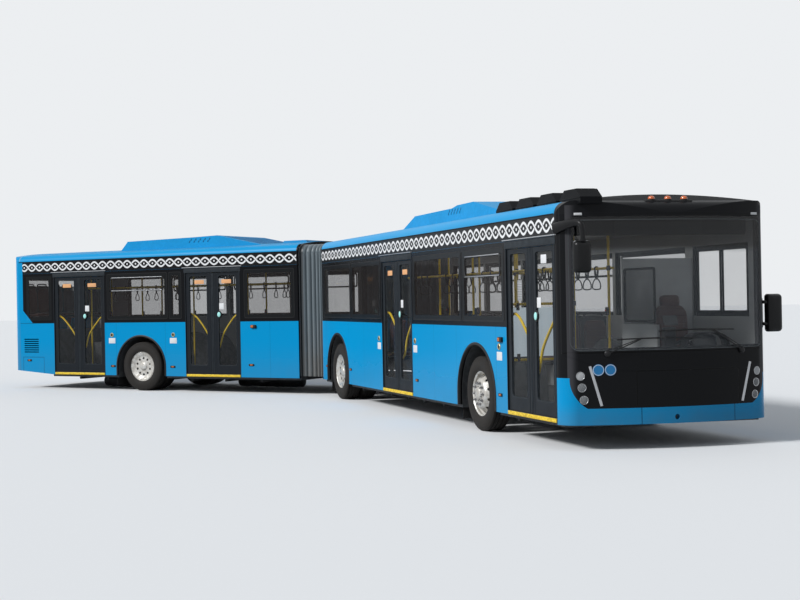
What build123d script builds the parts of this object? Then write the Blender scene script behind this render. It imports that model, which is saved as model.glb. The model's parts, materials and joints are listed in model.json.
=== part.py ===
from build123d import *
import os
from math import atan2, cos, degrees, pi, radians, sin, sqrt

# Articulated low-floor city bus, parked with its rear section turned to the door side.
# Both sections are drawn straight, X forward, Y to the left, Z up, ground at Z = 0.
# The front section has X = 0 over the front axle, the rear section X = 0 on the pivot.
# The whole bus is then moved so that its origin is the middle of its footprint.

# Body in section
HALF_W = 1265
WALL = 60
SKIRT_Z = 297
CANT_Z = 2370
BAND_TOP_Z = 2614
ROOF_EDGE_Y = HALF_W - 145
ROOF_EDGE_Z = 2752
CROWN_Z = 2830
CEILING_Z = 2680
FLOOR_TOP = 345
FLOOR_THICK = 90
FIT = 0.3
INNER_Y = HALF_W - WALL

# Front section, measured from the front axle
NOSE_X = 2770
NOSE_DEPTH = 205
NOSE_CORNER_R = 210
FLOOR_SETBACK = 250
FRONT_REAR_X = -7356
MID_AXLE_X = -6400
BUMPER_BOTTOM_Z = 280
BUMPER_TOP_Z = 462
BUMPER_WING_Z = 800
SCREEN_Z = (1100, 2570)
SCREEN_HALF_Y = HALF_W - 115
GLASS = 10
WING_Y = (HALF_W - 255, HALF_W - 75)
WING_BEND = (HALF_W - 125, 590)
LAMP_DEPTH = 30
LAMP_R = 42
LAMPS = ((HALF_W - 180, 822), (HALF_W - 195, 693), (HALF_W - 215, 558))
STRIP_Y = (HALF_W - 420, HALF_W - 300)
STRIP_W = 35
STRIP_Z = (490, 930)
TOW_SOCKET_R = 30
TOW_SOCKET_Z = 350

# Wipers: pivot (y, z), hold on the blade (y, z), blade's ends in y
WIPERS = (((-800, 1065), (-430, 1215), (-690, 240)), ((860, 1065), (450, 1300), (-210, 750)))

# Articulation
PIVOT_X = -8009
BEND = 44
RING_R = 520
RING_Z = (165, 222)
PLATE_Z = (232, 300)
WALKWAY_R = 620
TURN_PIN_R = 100
BEAM_HALF_Y = 420
BELLOWS_HALF_Y = HALF_W - 50
BELLOWS_Z = (330, 2740)
BELLOWS_WALL = 40
BELLOWS_FOLD = 55
BELLOWS_PLEATS = 10

# Rear section, measured from the pivot
REAR_FRONT_X = -980
TAIL_X = -7979
DRAWN_LENGTH = 6999
TAIL_CORNER_R = 150
TAIL_SHELL_X = TAIL_X + 179
TAIL_RISE = 80


def station(x):
    """Place along the rear section, given for its drawn length and moved with its real one."""
    return REAR_FRONT_X + (x - REAR_FRONT_X) * (REAR_FRONT_X - TAIL_X) / DRAWN_LENGTH


def stations(*spans):
    return tuple((station(low), station(high)) for low, high in spans)


REAR_AXLE_X = station(-4633)
BAY_X = station(-6925)
BAY_TOP_Z = 1200
BAY_STEPS = ((900, 630), (600, 915))
STEP_HALF_Y = 300
HATCH = (stations((-1700, -1170))[0], (-600, 600), (ROOF_EDGE_Z - 12, CROWN_Z + 20))
GRILLE_X = stations((-7700, -7300))[0]
GRILLE_Z = (740, 1040)
GRILLE_SLOT = 22

# Doors, all on the right side: rear jamb and front jamb
FRONT_DOORS = {"door_1": (1020, 2406), "door_2": (-3871, -2455)}
REAR_DOORS = dict(zip(("door_3", "door_4"), stations((-3534, -2257), (-6871, -5534))))
MASK_X = FRONT_DOORS["door_1"][1]
DOOR_HEAD_Z = 2280
LEAF_THICK = 36
LEAF_GLASS = 8
LEAF_BORDER = 75
LEAF_PANE_Z = 570
LEAF_GAP = 5
PIN_INSET = 30
PIN_R = 12
PIN_REACH = 20
SILL_DEPTH = 40

# Windows: low end, high end along X
RIGHT_WINDOWS_FRONT = ((-7240, -5580), (-5500, -3960), (-2370, -500), (-410, 930))
LEFT_WINDOWS_FRONT = ((-7240, -5790), (-5710, -4210), (-4130, -2630), (-2550, -1050), (-970, 900))
DRIVER_WINDOW = (1080, 2300)
RIGHT_WINDOWS_REAR = stations((-2140, -1080), (-3900, -3640), (-5440, -3980), (-7600, -6960))
LEFT_WINDOWS_REAR = stations((-2600, -1080), (-4180, -2680), (-5760, -4260), (-6900, -5840))
WINDOW_Z = (1430, 2290)
REBATE = 25
REBATE_DEPTH = 12
TAIL_WINDOW_Z = (1560, 2300)
TAIL_WINDOW_HALF_Y = HALF_W - 365

# Wheels
TYRE_R = 478.5
TYRE_W = 276
TYRE_SIDES = 32
RIM_R = 286
RIM_WALL = 16
FRONT_WHEEL_Y = HALF_W - 178
TWIN_OUTER_Y = HALF_W - 163
TWIN_PITCH = 305
HUB_R = 130
SPINDLE_R = 50
SPINDLE_PLAY = 0.5
HAND_HOLES = 10
AXLE_Z = TYRE_R

# Wheel arches: middle along X, radius, inner face of the housing
HOUSING_Y = HALF_W - 665
FRONT_ARCH = (0, 640, HOUSING_Y)
MID_ARCH = (MID_AXLE_X, 650, HOUSING_Y)
REAR_ARCH = (REAR_AXLE_X, 600, HOUSING_Y)
HOUSING_WALL = 30

# Front axle and steering
KINGPIN_Y = FRONT_WHEEL_Y - 127
KINGPIN_R = 22
FIST_R = 45
FIST_HALF_H = 75
LUG_H = 45
BEAM_Z = (165, FLOOR_TOP - FLOOR_THICK)
BEAM_HALF_X = 60
POST_Y = (HOUSING_Y + 40, HOUSING_Y + 160)
HUB_TUBE_R = 110
HUB_TUBE_Y = (HOUSING_Y, HOUSING_Y + 320)

# Roof units: (x, z) of each unit's outline from its rear to its front
FRONT_AC = ((-4000, 2790), (-3430, 2965), (-1840, 2975), (-1640, 3005), (-1040, 3010), (90, 2800))
REAR_AC_X = (station(-5410), station(-5240), station(-3600), station(-3050), station(-2030))
REAR_AC = tuple(zip(REAR_AC_X, (2790, 2965, 2990, 3005, 2790)))
AC_HALF_Y = ROOF_EDGE_Y - 270
POD_PITCH = 617
POD_FIRST_X = 2450
POD_COUNT = 4
POD_BASE = 520
POD_TOP = 290
POD_Y = (30 - ROOF_EDGE_Y, 290 - ROOF_EDGE_Y)
POD_TOP_Z = 2882
BEACON_Y = (-200, 0, 200)
BEACON_BAR_Y = (-290, 290)

# Mirrors
LEFT_MIRROR_Y = (HALF_W + 25, HALF_W + 235)
LEFT_MIRROR_Z = (1250, 1690)
MIRROR_DEPTH = 90
RIGHT_MIRROR_X = NOSE_X + 120
RIGHT_MIRROR_Y = (25 - HALF_W, 235 - HALF_W)
RIGHT_MIRROR_Z = (1950, 2300)

# Engine block, (low, high) in each direction, and the lid at the tail
ENGINE_X = stations((-7780, -7030))[0]
ENGINE_Y = (-350, 900)
ENGINE_Z = (FLOOR_TOP, BAY_TOP_Z - 50)
LID_HALF_Y = HALF_W - 445
LID_Z = (560, 1180)
LID_THICK = 40
LID_HINGE_OUT = 14
LID_HINGE_Y = (-500, 500)
LID_PIN_R = 6
LID_SLOTS = 6
LID_SLOT_PITCH = 42
LID_SLOT_HALF_Y = LID_HALF_Y - 220
TAIL_LAMP_Y = HALF_W - 255
TAIL_LAMP_Z = (760, 920, 1080)
TAIL_LAMP_R = 60
TAIL_LAMP_DEPTH = 40

# Cab and seats: a seat row is (x, y, width, floor height, pedestal height)
WALL_GAP = 15
CAB_Y = (250, INNER_Y - WALL_GAP)
CAB_X = (1080, 2060)
CAB_STEP = 200
CAB_DOOR_Z = 1350
PARTITION_Z = 2150
DESK_X = (2070, 2450)
DESK_Y = (250, INNER_Y - 125)
SHELF_X = (MASK_X + 40, MASK_X + 164)
SHELF_Y = (305 - INNER_Y, INNER_Y - 205)
DESK_Z = (900, 1080)
STEERING_WHEEL = (1970, 690, 1130)
STEERING_WHEEL_R = 225
SEAT_DEPTH = 420
SEAT_W = 820
CUSHION = 70
BACK = 60
BACK_RISE = 680
PEDESTAL = 400
SIDE_SEAT_Y = INNER_Y - WALL_GAP - SEAT_W / 2
BENCH_W = 780
BENCH_Y = INNER_Y - WALL_GAP - BENCH_W / 2
BENCH_PEDESTAL = 250
DRIVER_SEAT = (1560, 720, 480, FLOOR_TOP + CAB_STEP, PEDESTAL)
FRONT_SEAT_X = {1: (-1000, -1760, -2520, -3280, -4040, -4800), -1: (-1000, -1760, -4900)}
REAR_SEAT_X = {1: (-1480, -2240, -3000, -5720), -1: (-1480,)}
RAIL_Y = 330
RAIL_Z = 2050
RAIL_R = 17
FRONT_POLES = (-5150, -3800, -2400, -800, 550)
REAR_POLES = tuple(station(x) for x in (-6650, -5300, -4000, -2700, -1350))

FLOOR_BOTTOM = FLOOR_TOP - FLOOR_THICK
DOOR_Y = -(HALF_W - WALL / 2)
LID_HINGE_X = TAIL_X - LID_HINGE_OUT
LID_HINGE_Z = LID_Z[1] + LID_HINGE_OUT

# Middle of the footprint, from the nose or mirror tip to the corners of the turned tail
TAIL_LEFT_X = PIVOT_X + TAIL_X * cos(radians(BEND)) - HALF_W * sin(radians(BEND))
TAIL_RIGHT_Y = TAIL_X * sin(radians(BEND)) - HALF_W * cos(radians(BEND))
MIDDLE_X = (RIGHT_MIRROR_X + TAIL_LEFT_X) / 2
MIDDLE_Y = (LEFT_MIRROR_Y[1] + TAIL_RIGHT_Y) / 2

FRONT_PLACE = Pos(-MIDDLE_X, -MIDDLE_Y, 0)
REAR_PLACE = FRONT_PLACE * Pos(PIVOT_X, 0, 0) * Rot(0, 0, BEND)


def write(name, shape, place):
    export_step(place * shape, f"parts/{name}.step")


def block(x, y, z):
    """Box from (low, high) pairs in any order."""
    size = [abs(b - a) for a, b in (x, y, z)]
    return Pos(*[(a + b) / 2 for a, b in (x, y, z)]) * Box(*size)


def both_sides(make):
    """The union of make(1), on the left, and make(-1), on the right."""
    return make(1) + make(-1)


def rod(start, end, radius):
    """Round bar from one point to another."""
    axis = Vector(*end) - Vector(*start)
    return extrude(Plane(origin=start, z_dir=axis) * Circle(radius), axis.length)


def polygon(points):
    return make_face(Polyline(*points, close=True))


def along_x(face, x):
    return extrude(Plane(origin=(x[0], 0, 0), x_dir=(0, 1, 0), z_dir=(1, 0, 0)) * face, x[1] - x[0])


def along_y(face, y):
    return extrude(Plane(origin=(0, y[1], 0), x_dir=(1, 0, 0), z_dir=(0, -1, 0)) * face, y[1] - y[0])


def along_z(face, z):
    return extrude(Pos(0, 0, z[0]) * face, z[1] - z[0])


# Body outlines


def roof_outline(bottom):
    """Outer section of the body from height bottom up, over the coves and the crown."""
    cove_mid = (
        ROOF_EDGE_Y + (HALF_W - ROOF_EDGE_Y) * cos(radians(45)),
        BAND_TOP_Z + (ROOF_EDGE_Z - BAND_TOP_Z) * sin(radians(45)),
    )
    left = (HALF_W, BAND_TOP_Z)
    right = (-HALF_W, BAND_TOP_Z)
    edge_left = (ROOF_EDGE_Y, ROOF_EDGE_Z)
    edge_right = (-ROOF_EDGE_Y, ROOF_EDGE_Z)
    return make_face(
        [
            Line((-HALF_W, bottom), right),
            ThreePointArc(right, (-cove_mid[0], cove_mid[1]), edge_right),
            ThreePointArc(edge_right, (0, CROWN_Z), edge_left),
            ThreePointArc(edge_left, cove_mid, left),
            Line(left, (HALF_W, bottom)),
            Line((HALF_W, bottom), (-HALF_W, bottom)),
        ]
    )


def cabin_outline(bottom):
    """Inner section of the body, up to the flat ceiling."""
    bevel = HALF_W - ROOF_EDGE_Y
    return polygon(
        [
            (-INNER_Y, bottom),
            (-INNER_Y, CEILING_Z - bevel),
            (-INNER_Y + bevel, CEILING_Z),
            (INNER_Y - bevel, CEILING_Z),
            (INNER_Y, CEILING_Z - bevel),
            (INNER_Y, bottom),
        ]
    )


def arc_about(centre, radius, start, end):
    """Arc about a centre between two angles in degrees."""
    points = [
        (centre[0] + radius * cos(radians(a)), centre[1] + radius * sin(radians(a)))
        for a in (start, (start + end) / 2, end)
    ]
    return ThreePointArc(*points)


def nose_plan(inset, back_x=MASK_X):
    """Plan of the bowed front end from back_x on, moved in by inset from the outer face."""
    bow_r = (HALF_W**2 + NOSE_DEPTH**2) / (2 * NOSE_DEPTH)
    bow_x = NOSE_X - bow_r
    corner_y = HALF_W - NOSE_CORNER_R
    corner_x = bow_x + sqrt((bow_r - NOSE_CORNER_R) ** 2 - corner_y**2)
    lean = degrees(atan2(corner_y, corner_x - bow_x))
    corner_r = NOSE_CORNER_R - inset
    half = HALF_W - inset
    right = arc_about((corner_x, -corner_y), corner_r, -90, -lean)
    bow = arc_about((bow_x, 0), bow_r - inset, -lean, lean)
    left = arc_about((corner_x, corner_y), corner_r, lean, 90)
    sides = [
        Line(left @ 1, (back_x, half)),
        Line((back_x, half), (back_x, -half)),
        Line((back_x, -half), right @ 0),
    ]
    return make_face([right, bow, left, *sides])


def tail_plan(inset, front_x=TAIL_SHELL_X):
    """Plan of the tail end with its rounded corners up to front_x, moved in by inset."""
    corner_x = TAIL_X + TAIL_CORNER_R
    corner_y = HALF_W - TAIL_CORNER_R
    radius = TAIL_CORNER_R - inset
    half = HALF_W - inset
    left = arc_about((corner_x, corner_y), radius, 90, 180)
    right = arc_about((corner_x, -corner_y), radius, 180, 270)
    sides = [
        Line(left @ 1, right @ 0),
        Line(right @ 1, (front_x, -half)),
        Line((front_x, -half), (front_x, half)),
        Line((front_x, half), left @ 0),
    ]
    return make_face([left, right, *sides])


def nose_profile():
    """Side view of the front cap, rounded down from the roof to the front face."""
    top = (MASK_X - 1, CROWN_Z + 30)
    brow = (MASK_X + 170, CROWN_Z - 85)
    face = (NOSE_X + 1, BAND_TOP_Z - 20)
    bulge = ((brow[0] + face[0]) / 2 + 45, (brow[1] + face[1]) / 2 + 35)
    return make_face(
        [
            Line((MASK_X - 1, BUMPER_BOTTOM_Z), top),
            Line(top, brow),
            ThreePointArc(brow, bulge, face),
            Line(face, (NOSE_X + 1, BUMPER_BOTTOM_Z)),
            Line((NOSE_X + 1, BUMPER_BOTTOM_Z), (MASK_X - 1, BUMPER_BOTTOM_Z)),
        ]
    )


def skin(depth, z):
    """Layer of the front end, depth thick from its outer face."""
    return along_z(nose_plan(0), z) - along_z(nose_plan(depth), (z[0] - 1, z[1] + 1))


# Panels with doors, windows and wheel arches


def arch_cutter(arch, y, extra=0):
    """Round-topped wheel opening, open at the bottom."""
    middle, radius, _ = arch
    radius += extra
    round_top = Pos(middle, sum(y) / 2, AXLE_Z) * Rot(90, 0, 0) * Cylinder(radius, abs(y[1] - y[0]))
    return round_top + block((middle - radius, middle + radius), y, (0, AXLE_Z))


def side_range(side, depth_in, depth_out=0):
    """Y range from depth_in to depth_out, measured inwards from a body side."""
    return (side * (HALF_W - depth_in), side * (HALF_W - depth_out))


def panel(side, x, windows, arches):
    """Side wall from skirt to cantrail, its windows rebated and its arches cut."""
    wall = block(x, side_range(side, WALL), (SKIRT_Z, CANT_Z))
    for low, high in windows:
        wall -= block((low, high), side_range(side, WALL + 1, -1), WINDOW_Z)
        wall -= pane(side, (low, high), WINDOW_Z, 0)
    for arch in arches:
        wall -= arch_cutter(arch, side_range(side, WALL + 1, -1))
    return wall


def pane(side, x, z, play=FIT):
    """Flat window glass in its rebate, flush with the outer face."""
    reach = REBATE - play
    return block(
        (x[0] - reach, x[1] + reach),
        side_range(side, REBATE_DEPTH - play),
        (z[0] - reach, z[1] + reach),
    )


def floor(x, arches, doors):
    """Floor as an aisle plate, side plates with the door sills, and wheel housings.

    The plates and housings are separate boards, a small gap apart.
    """
    z = (FLOOR_BOTTOM, FLOOR_TOP)
    cheek_y = HOUSING_Y - HOUSING_WALL
    boards = [block(x, (-cheek_y, cheek_y), z)]
    ends = [x[1]]
    for middle, radius, _ in arches:
        half = radius + HOUSING_WALL + FIT
        ends += [middle + half, middle - half]
    ends.append(x[0])
    for side in (1, -1):
        across = (side * (cheek_y + FIT), side * INNER_Y)
        for front, back in zip(ends[::2], ends[1::2]):
            board = block((back, front), across, z)
            if side < 0:
                for door in doors.values():
                    if back < door[0] < front:
                        board = with_sill(board, door)
            boards.append(board)
        boards += [housing(arch, side) for arch in arches]
    return boards


def with_sill(board, door):
    low, high = door
    board += block((low, high), (-HALF_W + 10, -INNER_Y), (FLOOR_TOP - SILL_DEPTH, FLOOR_TOP))
    for x_pin in (low + PIN_INSET, high - PIN_INSET):
        board -= Pos(x_pin, DOOR_Y, FLOOR_TOP) * Cylinder(PIN_R + FIT, 2 * PIN_REACH + 2 * FIT)
    return board


def housing(arch, side):
    """Wheel housing on the floor: a round-topped hood with its inner cheek."""
    middle, radius, inner_y = arch
    reach = radius + HOUSING_WALL + 1
    outer = (side * (inner_y - HOUSING_WALL + FIT), side * INNER_Y)
    hood = arch_cutter(arch, outer, HOUSING_WALL) - arch_cutter(arch, (side * inner_y, side * (INNER_Y + 1)))
    return hood - block((middle - reach, middle + reach), outer, (-TYRE_R, FLOOR_BOTTOM))


def roof(x, doors):
    """Roof shell with its coves, on a cantrail along each side, with a header over each door."""
    seam_z = CEILING_Z - (HALF_W - ROOF_EDGE_Y)
    longer = (x[0] - 1, x[1] + 1)
    shell = along_x(roof_outline(seam_z + FIT), x) - along_x(cabin_outline(seam_z - 1), longer)
    left = block(x, side_range(1, WALL), (CANT_Z, seam_z))
    right = block(x, side_range(-1, WALL), (CANT_Z, seam_z))
    for low, high in doors.values():
        right += block((low, high), side_range(-1, WALL), (DOOR_HEAD_Z, CANT_Z))
        for x_pin in (low + PIN_INSET, high - PIN_INSET):
            right -= Pos(x_pin, DOOR_Y, DOOR_HEAD_Z) * Cylinder(PIN_R + FIT, 2 * PIN_REACH + 2 * FIT)
    return [shell, left, right]


def hatch():
    """Low lid on the roof, its upper edges bevelled."""
    x, y, z = HATCH
    bevel = 30
    side_view = polygon(
        [
            (x[0], z[0]),
            (x[0], z[1] - bevel),
            (x[0] + bevel, z[1]),
            (x[1] - bevel, z[1]),
            (x[1], z[1] - bevel),
            (x[1], z[0]),
        ]
    )
    return along_y(side_view, y)


def door_leaf(door, hinge_at_front):
    """One leaf with its pane and turning post, drawn closed. The post is at the outer jamb."""
    low, high = door
    middle = (low + high) / 2
    pin_x = high - PIN_INSET if hinge_at_front else low + PIN_INSET
    out = 1 if hinge_at_front else -1
    edge_x = pin_x + out * (LEAF_THICK / 2 - 1)
    meet_x = middle + out * LEAF_GAP / 2
    y = (DOOR_Y - LEAF_THICK / 2, DOOR_Y + LEAF_THICK / 2)
    z = (FLOOR_TOP + LEAF_GAP, DOOR_HEAD_Z - LEAF_GAP)
    leaf = block((edge_x, meet_x), y, z)
    recess = (LEAF_THICK - LEAF_GLASS) / 2
    for face in ((y[0] - 1, y[0] + recess), (y[1] - recess, y[1] + 1)):
        leaf -= block(
            (edge_x - out * LEAF_BORDER, meet_x + out * LEAF_BORDER),
            face,
            (LEAF_PANE_Z, z[1] - LEAF_BORDER),
        )
    pin = (FLOOR_TOP - PIN_REACH, DOOR_HEAD_Z + PIN_REACH)
    return leaf + Pos(pin_x, DOOR_Y, sum(pin) / 2) * Cylinder(PIN_R, pin[1] - pin[0])


# Wheels, drawn with their axis along Z and their outer side at +Z


def wheel_place(side, x, y):
    return Pos(x, side * y, AXLE_Z) * Rot(-90 * side, 0, 0)


def turned(points, middle=0):
    """Ring from (radius, height) points, turned about Z."""
    face = polygon([(r, middle + z) for r, z in points])
    return revolve(Plane.XZ * face, Axis.Z)


def faceted(points, sides):
    """Ring from (radius, height) points about Z, made of flat facets."""

    def corner(n, point):
        angle = 2 * pi * n / sides
        return (point[0] * cos(angle), point[0] * sin(angle), point[1])

    facets = []
    for n in range(sides):
        for low, high in zip(points, [*points[1:], points[0]]):
            corners = [corner(n, low), corner(n + 1, low), corner(n + 1, high), corner(n, high)]
            facets.append(polygon(corners))
    return Solid(Shell(facets))


def tyre(middle=0):
    """Tyre with straight-sided tread, rounded shoulders and full sidewalls, in flat facets."""
    half = TYRE_W / 2
    bead_r = (RIM_R + FIT) / cos(pi / TYRE_SIDES)
    ring = [
        (bead_r, -half + 22),
        (RIM_R + 90, -half),
        (TYRE_R - 42, -half + 10),
        (TYRE_R, -half + 34),
        (TYRE_R, half - 34),
        (TYRE_R - 42, half - 10),
        (RIM_R + 90, half),
        (bead_r, half - 22),
    ]
    return Pos(0, 0, middle) * faceted(ring, TYRE_SIDES)


def rim_barrel(middle=0):
    """Drop-centre rim, open to both sides."""
    half = TYRE_W / 2 - 22
    inner = RIM_R - RIM_WALL
    return turned([(inner, -half), (RIM_R, -half), (RIM_R, half), (inner, half)], middle)


def wheel_disc(dish, reach):
    """Disc with a ring of hand holes, from the hub at height dish to the rim at height reach."""
    inner = RIM_R - RIM_WALL
    sheet = 14
    disc = turned(
        [
            (SPINDLE_R + SPINDLE_PLAY, dish),
            (150, dish),
            (175, reach - sheet),
            (inner + 1, reach - sheet),
            (inner + 1, reach),
            (185, reach),
            (160, dish + sheet),
            (SPINDLE_R + SPINDLE_PLAY, dish + sheet),
        ]
    )
    for n in range(HAND_HOLES):
        disc -= Rot(0, 0, 360 / HAND_HOLES * n) * Pos(225, 0, reach) * Cylinder(26, 80)
    return disc


def front_rim():
    """Single wheel: the disc stands out towards the kerb."""
    dish = 48
    wheel = rim_barrel() + wheel_disc(dish, 20)
    hub = Pos(0, 0, dish + 14 + 30) * Cylinder(HUB_R - 30, 62)
    sleeve = Pos(0, 0, dish - 20) * Cylinder(HUB_R - 30, 44)
    bore = Pos(0, 0, dish) * Cylinder(SPINDLE_R + SPINDLE_PLAY, 96)
    return wheel + hub + sleeve - bore


def twin_rim():
    """Twin wheel: two rims on one deep disc, the hub set well inside the outer rim."""
    dish = -112
    wheel = rim_barrel() + rim_barrel(-TWIN_PITCH) + wheel_disc(dish, -60)
    hub = Pos(0, 0, dish + 45) * Cylinder(HUB_R, 90)
    joint = turned(
        [
            (RIM_R - RIM_WALL, -TWIN_PITCH + TYRE_W / 2 - 22 - 1),
            (RIM_R - 2, -TWIN_PITCH + TYRE_W / 2 - 22 - 1),
            (RIM_R - 2, -TYRE_W / 2 + 22 + 1),
            (RIM_R - RIM_WALL, -TYRE_W / 2 + 22 + 1),
        ]
    )
    bore = Pos(0, 0, dish) * Cylinder(SPINDLE_R + SPINDLE_PLAY, 140)
    return wheel + hub + joint - bore


def axle_beam(half_y):
    return block((-BEAM_HALF_X, BEAM_HALF_X), (-half_y, half_y), BEAM_Z)


def front_axle():
    """Dropped beam under the floor, rising inside the housings to the kingpin fists."""
    post_y = POST_Y[1]

    def end(side):
        post = block((-BEAM_HALF_X, BEAM_HALF_X), (side * POST_Y[0], side * post_y), (BEAM_Z[0], AXLE_Z + 50))
        arm = block((-45, 45), (side * (post_y - 10), side * KINGPIN_Y), (AXLE_Z - 50, AXLE_Z + 50))
        fist = Pos(0, side * KINGPIN_Y, AXLE_Z) * Cylinder(FIST_R, 2 * FIST_HALF_H)
        hole = Pos(0, side * KINGPIN_Y, AXLE_Z) * Cylinder(KINGPIN_R + FIT, 2 * FIST_HALF_H + 2)
        return post + arm + fist - hole

    return axle_beam(post_y) + both_sides(end)


def knuckle(side):
    """Steering knuckle: a lug over and under the fist, the kingpin, and the wheel spindle."""
    lug_mid = FIST_HALF_H + FIT + LUG_H / 2
    outer_y = KINGPIN_Y + FIST_R + 8
    parts = Pos(0, side * KINGPIN_Y, AXLE_Z) * Cylinder(KINGPIN_R, 2 * lug_mid)
    for up in (1, -1):
        z = AXLE_Z + up * lug_mid
        parts += Pos(0, side * KINGPIN_Y, z) * Cylinder(FIST_R, LUG_H)
        z_range = (z - LUG_H / 2, z + LUG_H / 2)
        parts += block((-FIST_R, FIST_R), (side * KINGPIN_Y, side * (outer_y + 20)), z_range)
    tall = FIST_HALF_H + FIT + LUG_H
    parts += block((-FIST_R, FIST_R), (side * outer_y, side * (outer_y + 20)), (AXLE_Z - tall, AXLE_Z + tall))
    tip_y = FRONT_WHEEL_Y + 90
    spindle = Pos(0, side * (outer_y + tip_y) / 2, AXLE_Z) * Rot(90, 0, 0)
    return parts + spindle * Cylinder(SPINDLE_R, tip_y - outer_y)


def portal_axle():
    """Axle of the twin wheels: beam under the floor, posts beside the tyres, and spindles."""
    post_y = (HOUSING_Y + 4, HOUSING_Y + 45)
    tube_length = HUB_TUBE_Y[1] - HUB_TUBE_Y[0]
    tip_y = TWIN_OUTER_Y - 45
    root_y = HUB_TUBE_Y[0] + 100

    def end(side):
        post = block((-90, 90), (side * post_y[0], side * post_y[1]), (BEAM_Z[0], AXLE_Z + HUB_TUBE_R))
        tube = Pos(0, side * sum(HUB_TUBE_Y) / 2, AXLE_Z) * Rot(90, 0, 0) * Cylinder(HUB_TUBE_R, tube_length)
        spindle = Pos(0, side * (root_y + tip_y) / 2, AXLE_Z) * Rot(90, 0, 0)
        return post + tube + spindle * Cylinder(SPINDLE_R, tip_y - root_y)

    return axle_beam(post_y[1]) + both_sides(end)


# Front section pieces


def front_envelope():
    """Filled shape of the front end, ahead of the first door."""
    solid = along_x(roof_outline(BUMPER_BOTTOM_Z), (MASK_X, NOSE_X + 1))
    solid &= along_z(nose_plan(0), (BUMPER_BOTTOM_Z, CROWN_Z + 10))
    return solid & along_y(nose_profile(), (-HALF_W - 1, HALF_W + 1))


def front_end():
    """Hollow front end, before its openings are cut."""
    cabin = along_x(cabin_outline(BUMPER_BOTTOM_Z - 1), (MASK_X - 1, NOSE_X))
    cabin &= along_z(nose_plan(WALL, MASK_X - 2), (BUMPER_BOTTOM_Z - 1, BAND_TOP_Z))
    return front_envelope() - cabin


def mask_region():
    """Front view of the black mask: all above the bumper and inside its raised wings."""
    low, high = WING_Y
    top = CROWN_Z + 100
    out = HALF_W + 5
    bend_y, bend_z = WING_BEND
    return make_face(
        [
            Line((-low, BUMPER_TOP_Z), (low, BUMPER_TOP_Z)),
            ThreePointArc((low, BUMPER_TOP_Z), (bend_y, bend_z), (high, BUMPER_WING_Z)),
            Line((high, BUMPER_WING_Z), (out, BUMPER_WING_Z)),
            Line((out, BUMPER_WING_Z), (out, top)),
            Line((out, top), (-out, top)),
            Line((-out, top), (-out, BUMPER_WING_Z)),
            Line((-out, BUMPER_WING_Z), (-high, BUMPER_WING_Z)),
            ThreePointArc((-high, BUMPER_WING_Z), (-bend_y, bend_z), (-low, BUMPER_TOP_Z)),
        ]
    )


def lamp_cutters(grow):
    """Three round lamps and a slanted light strip on each side, along X."""
    parts = None
    for side in (1, -1):
        for y, z in LAMPS:
            lamp = Pos(NOSE_X - 150, side * y, z) * Rot(0, 90, 0) * Cylinder(LAMP_R + grow, 500)
            parts = lamp if parts is None else parts + lamp
        strip = []
        for y, z in ((STRIP_Y[0], STRIP_Z[0] - grow), (STRIP_Y[1], STRIP_Z[1] + grow)):
            strip += [(side * (y - grow), z), (side * (y + STRIP_W + grow), z)]
        strip = [strip[0], strip[1], strip[3], strip[2]]
        parts += along_x(polygon(strip), (NOSE_X - 400, NOSE_X + 100))
    return parts


def screen_cutter(grow):
    """Windscreen outline seen from the front."""
    half = SCREEN_HALF_Y + grow
    low, high = SCREEN_Z[0] - grow, SCREEN_Z[1] + grow
    return block((MASK_X + 60, NOSE_X + 50), (-half, half), (low, high))


def front_shells():
    """The black mask, the blue bumper and the lamps, cut from the one front end."""
    shell = front_end()
    region = along_x(mask_region(), (MASK_X - 1, NOSE_X + 5))
    mask = (shell & region) - screen_cutter(-REBATE)
    mask -= skin(GLASS, (SCREEN_Z[0] - 5, SCREEN_Z[1] + 5)) & screen_cutter(0)
    lamp_z = (BUMPER_TOP_Z, STRIP_Z[1] + 70)
    mask -= skin(LAMP_DEPTH, lamp_z) & lamp_cutters(FIT)
    bumper = shell - region
    bumper -= Pos(NOSE_X, 0, TOW_SOCKET_Z) * Rot(0, 90, 0) * Cylinder(TOW_SOCKET_R, 300)
    return mask, bumper, skin(LAMP_DEPTH - FIT, lamp_z) & lamp_cutters(0)


def windscreen():
    return skin(GLASS - FIT, SCREEN_Z) & screen_cutter(-FIT)


def ac_unit(outline):
    """Roof unit: outline in side view, its long edges bevelled."""
    low = min(z for _, z in outline)
    base = [*outline, (outline[-1][0], low - 60), (outline[0][0], low - 60)]
    body = along_y(polygon(base), (-AC_HALF_Y, AC_HALF_Y))
    return body - along_x(roof_outline(0), (outline[0][0] - 1, outline[-1][0] + 1))


def roof_pods():
    """Row of low black housings along the right edge of the roof."""
    row = None
    for n in range(POD_COUNT):
        x = POD_FIRST_X - POD_PITCH * n
        side_view = polygon(
            [
                (x - POD_BASE / 2, ROOF_EDGE_Z - 40),
                (x + POD_BASE / 2, ROOF_EDGE_Z - 40),
                (x + POD_BASE / 2, ROOF_EDGE_Z + 35),
                (x + POD_TOP / 2, POD_TOP_Z),
                (x - POD_TOP / 2, POD_TOP_Z),
                (x - POD_BASE / 2, ROOF_EDGE_Z + 35),
            ]
        )
        pod = along_y(side_view, POD_Y)
        row = pod if row is None else row + pod
    return row - along_x(roof_outline(0), (0, MASK_X)) - front_envelope()


def beacons():
    """Three amber lamps on a bar over the brow."""
    x = MASK_X + 234
    top_z = CROWN_Z - 75
    bar = block((x - 40, x + 40), BEACON_BAR_Y, (top_z - 80, top_z))
    for y in BEACON_Y:
        bar += Pos(x, y, top_z + 19) * Cylinder(38, 40)
    return bar - front_envelope()


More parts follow.
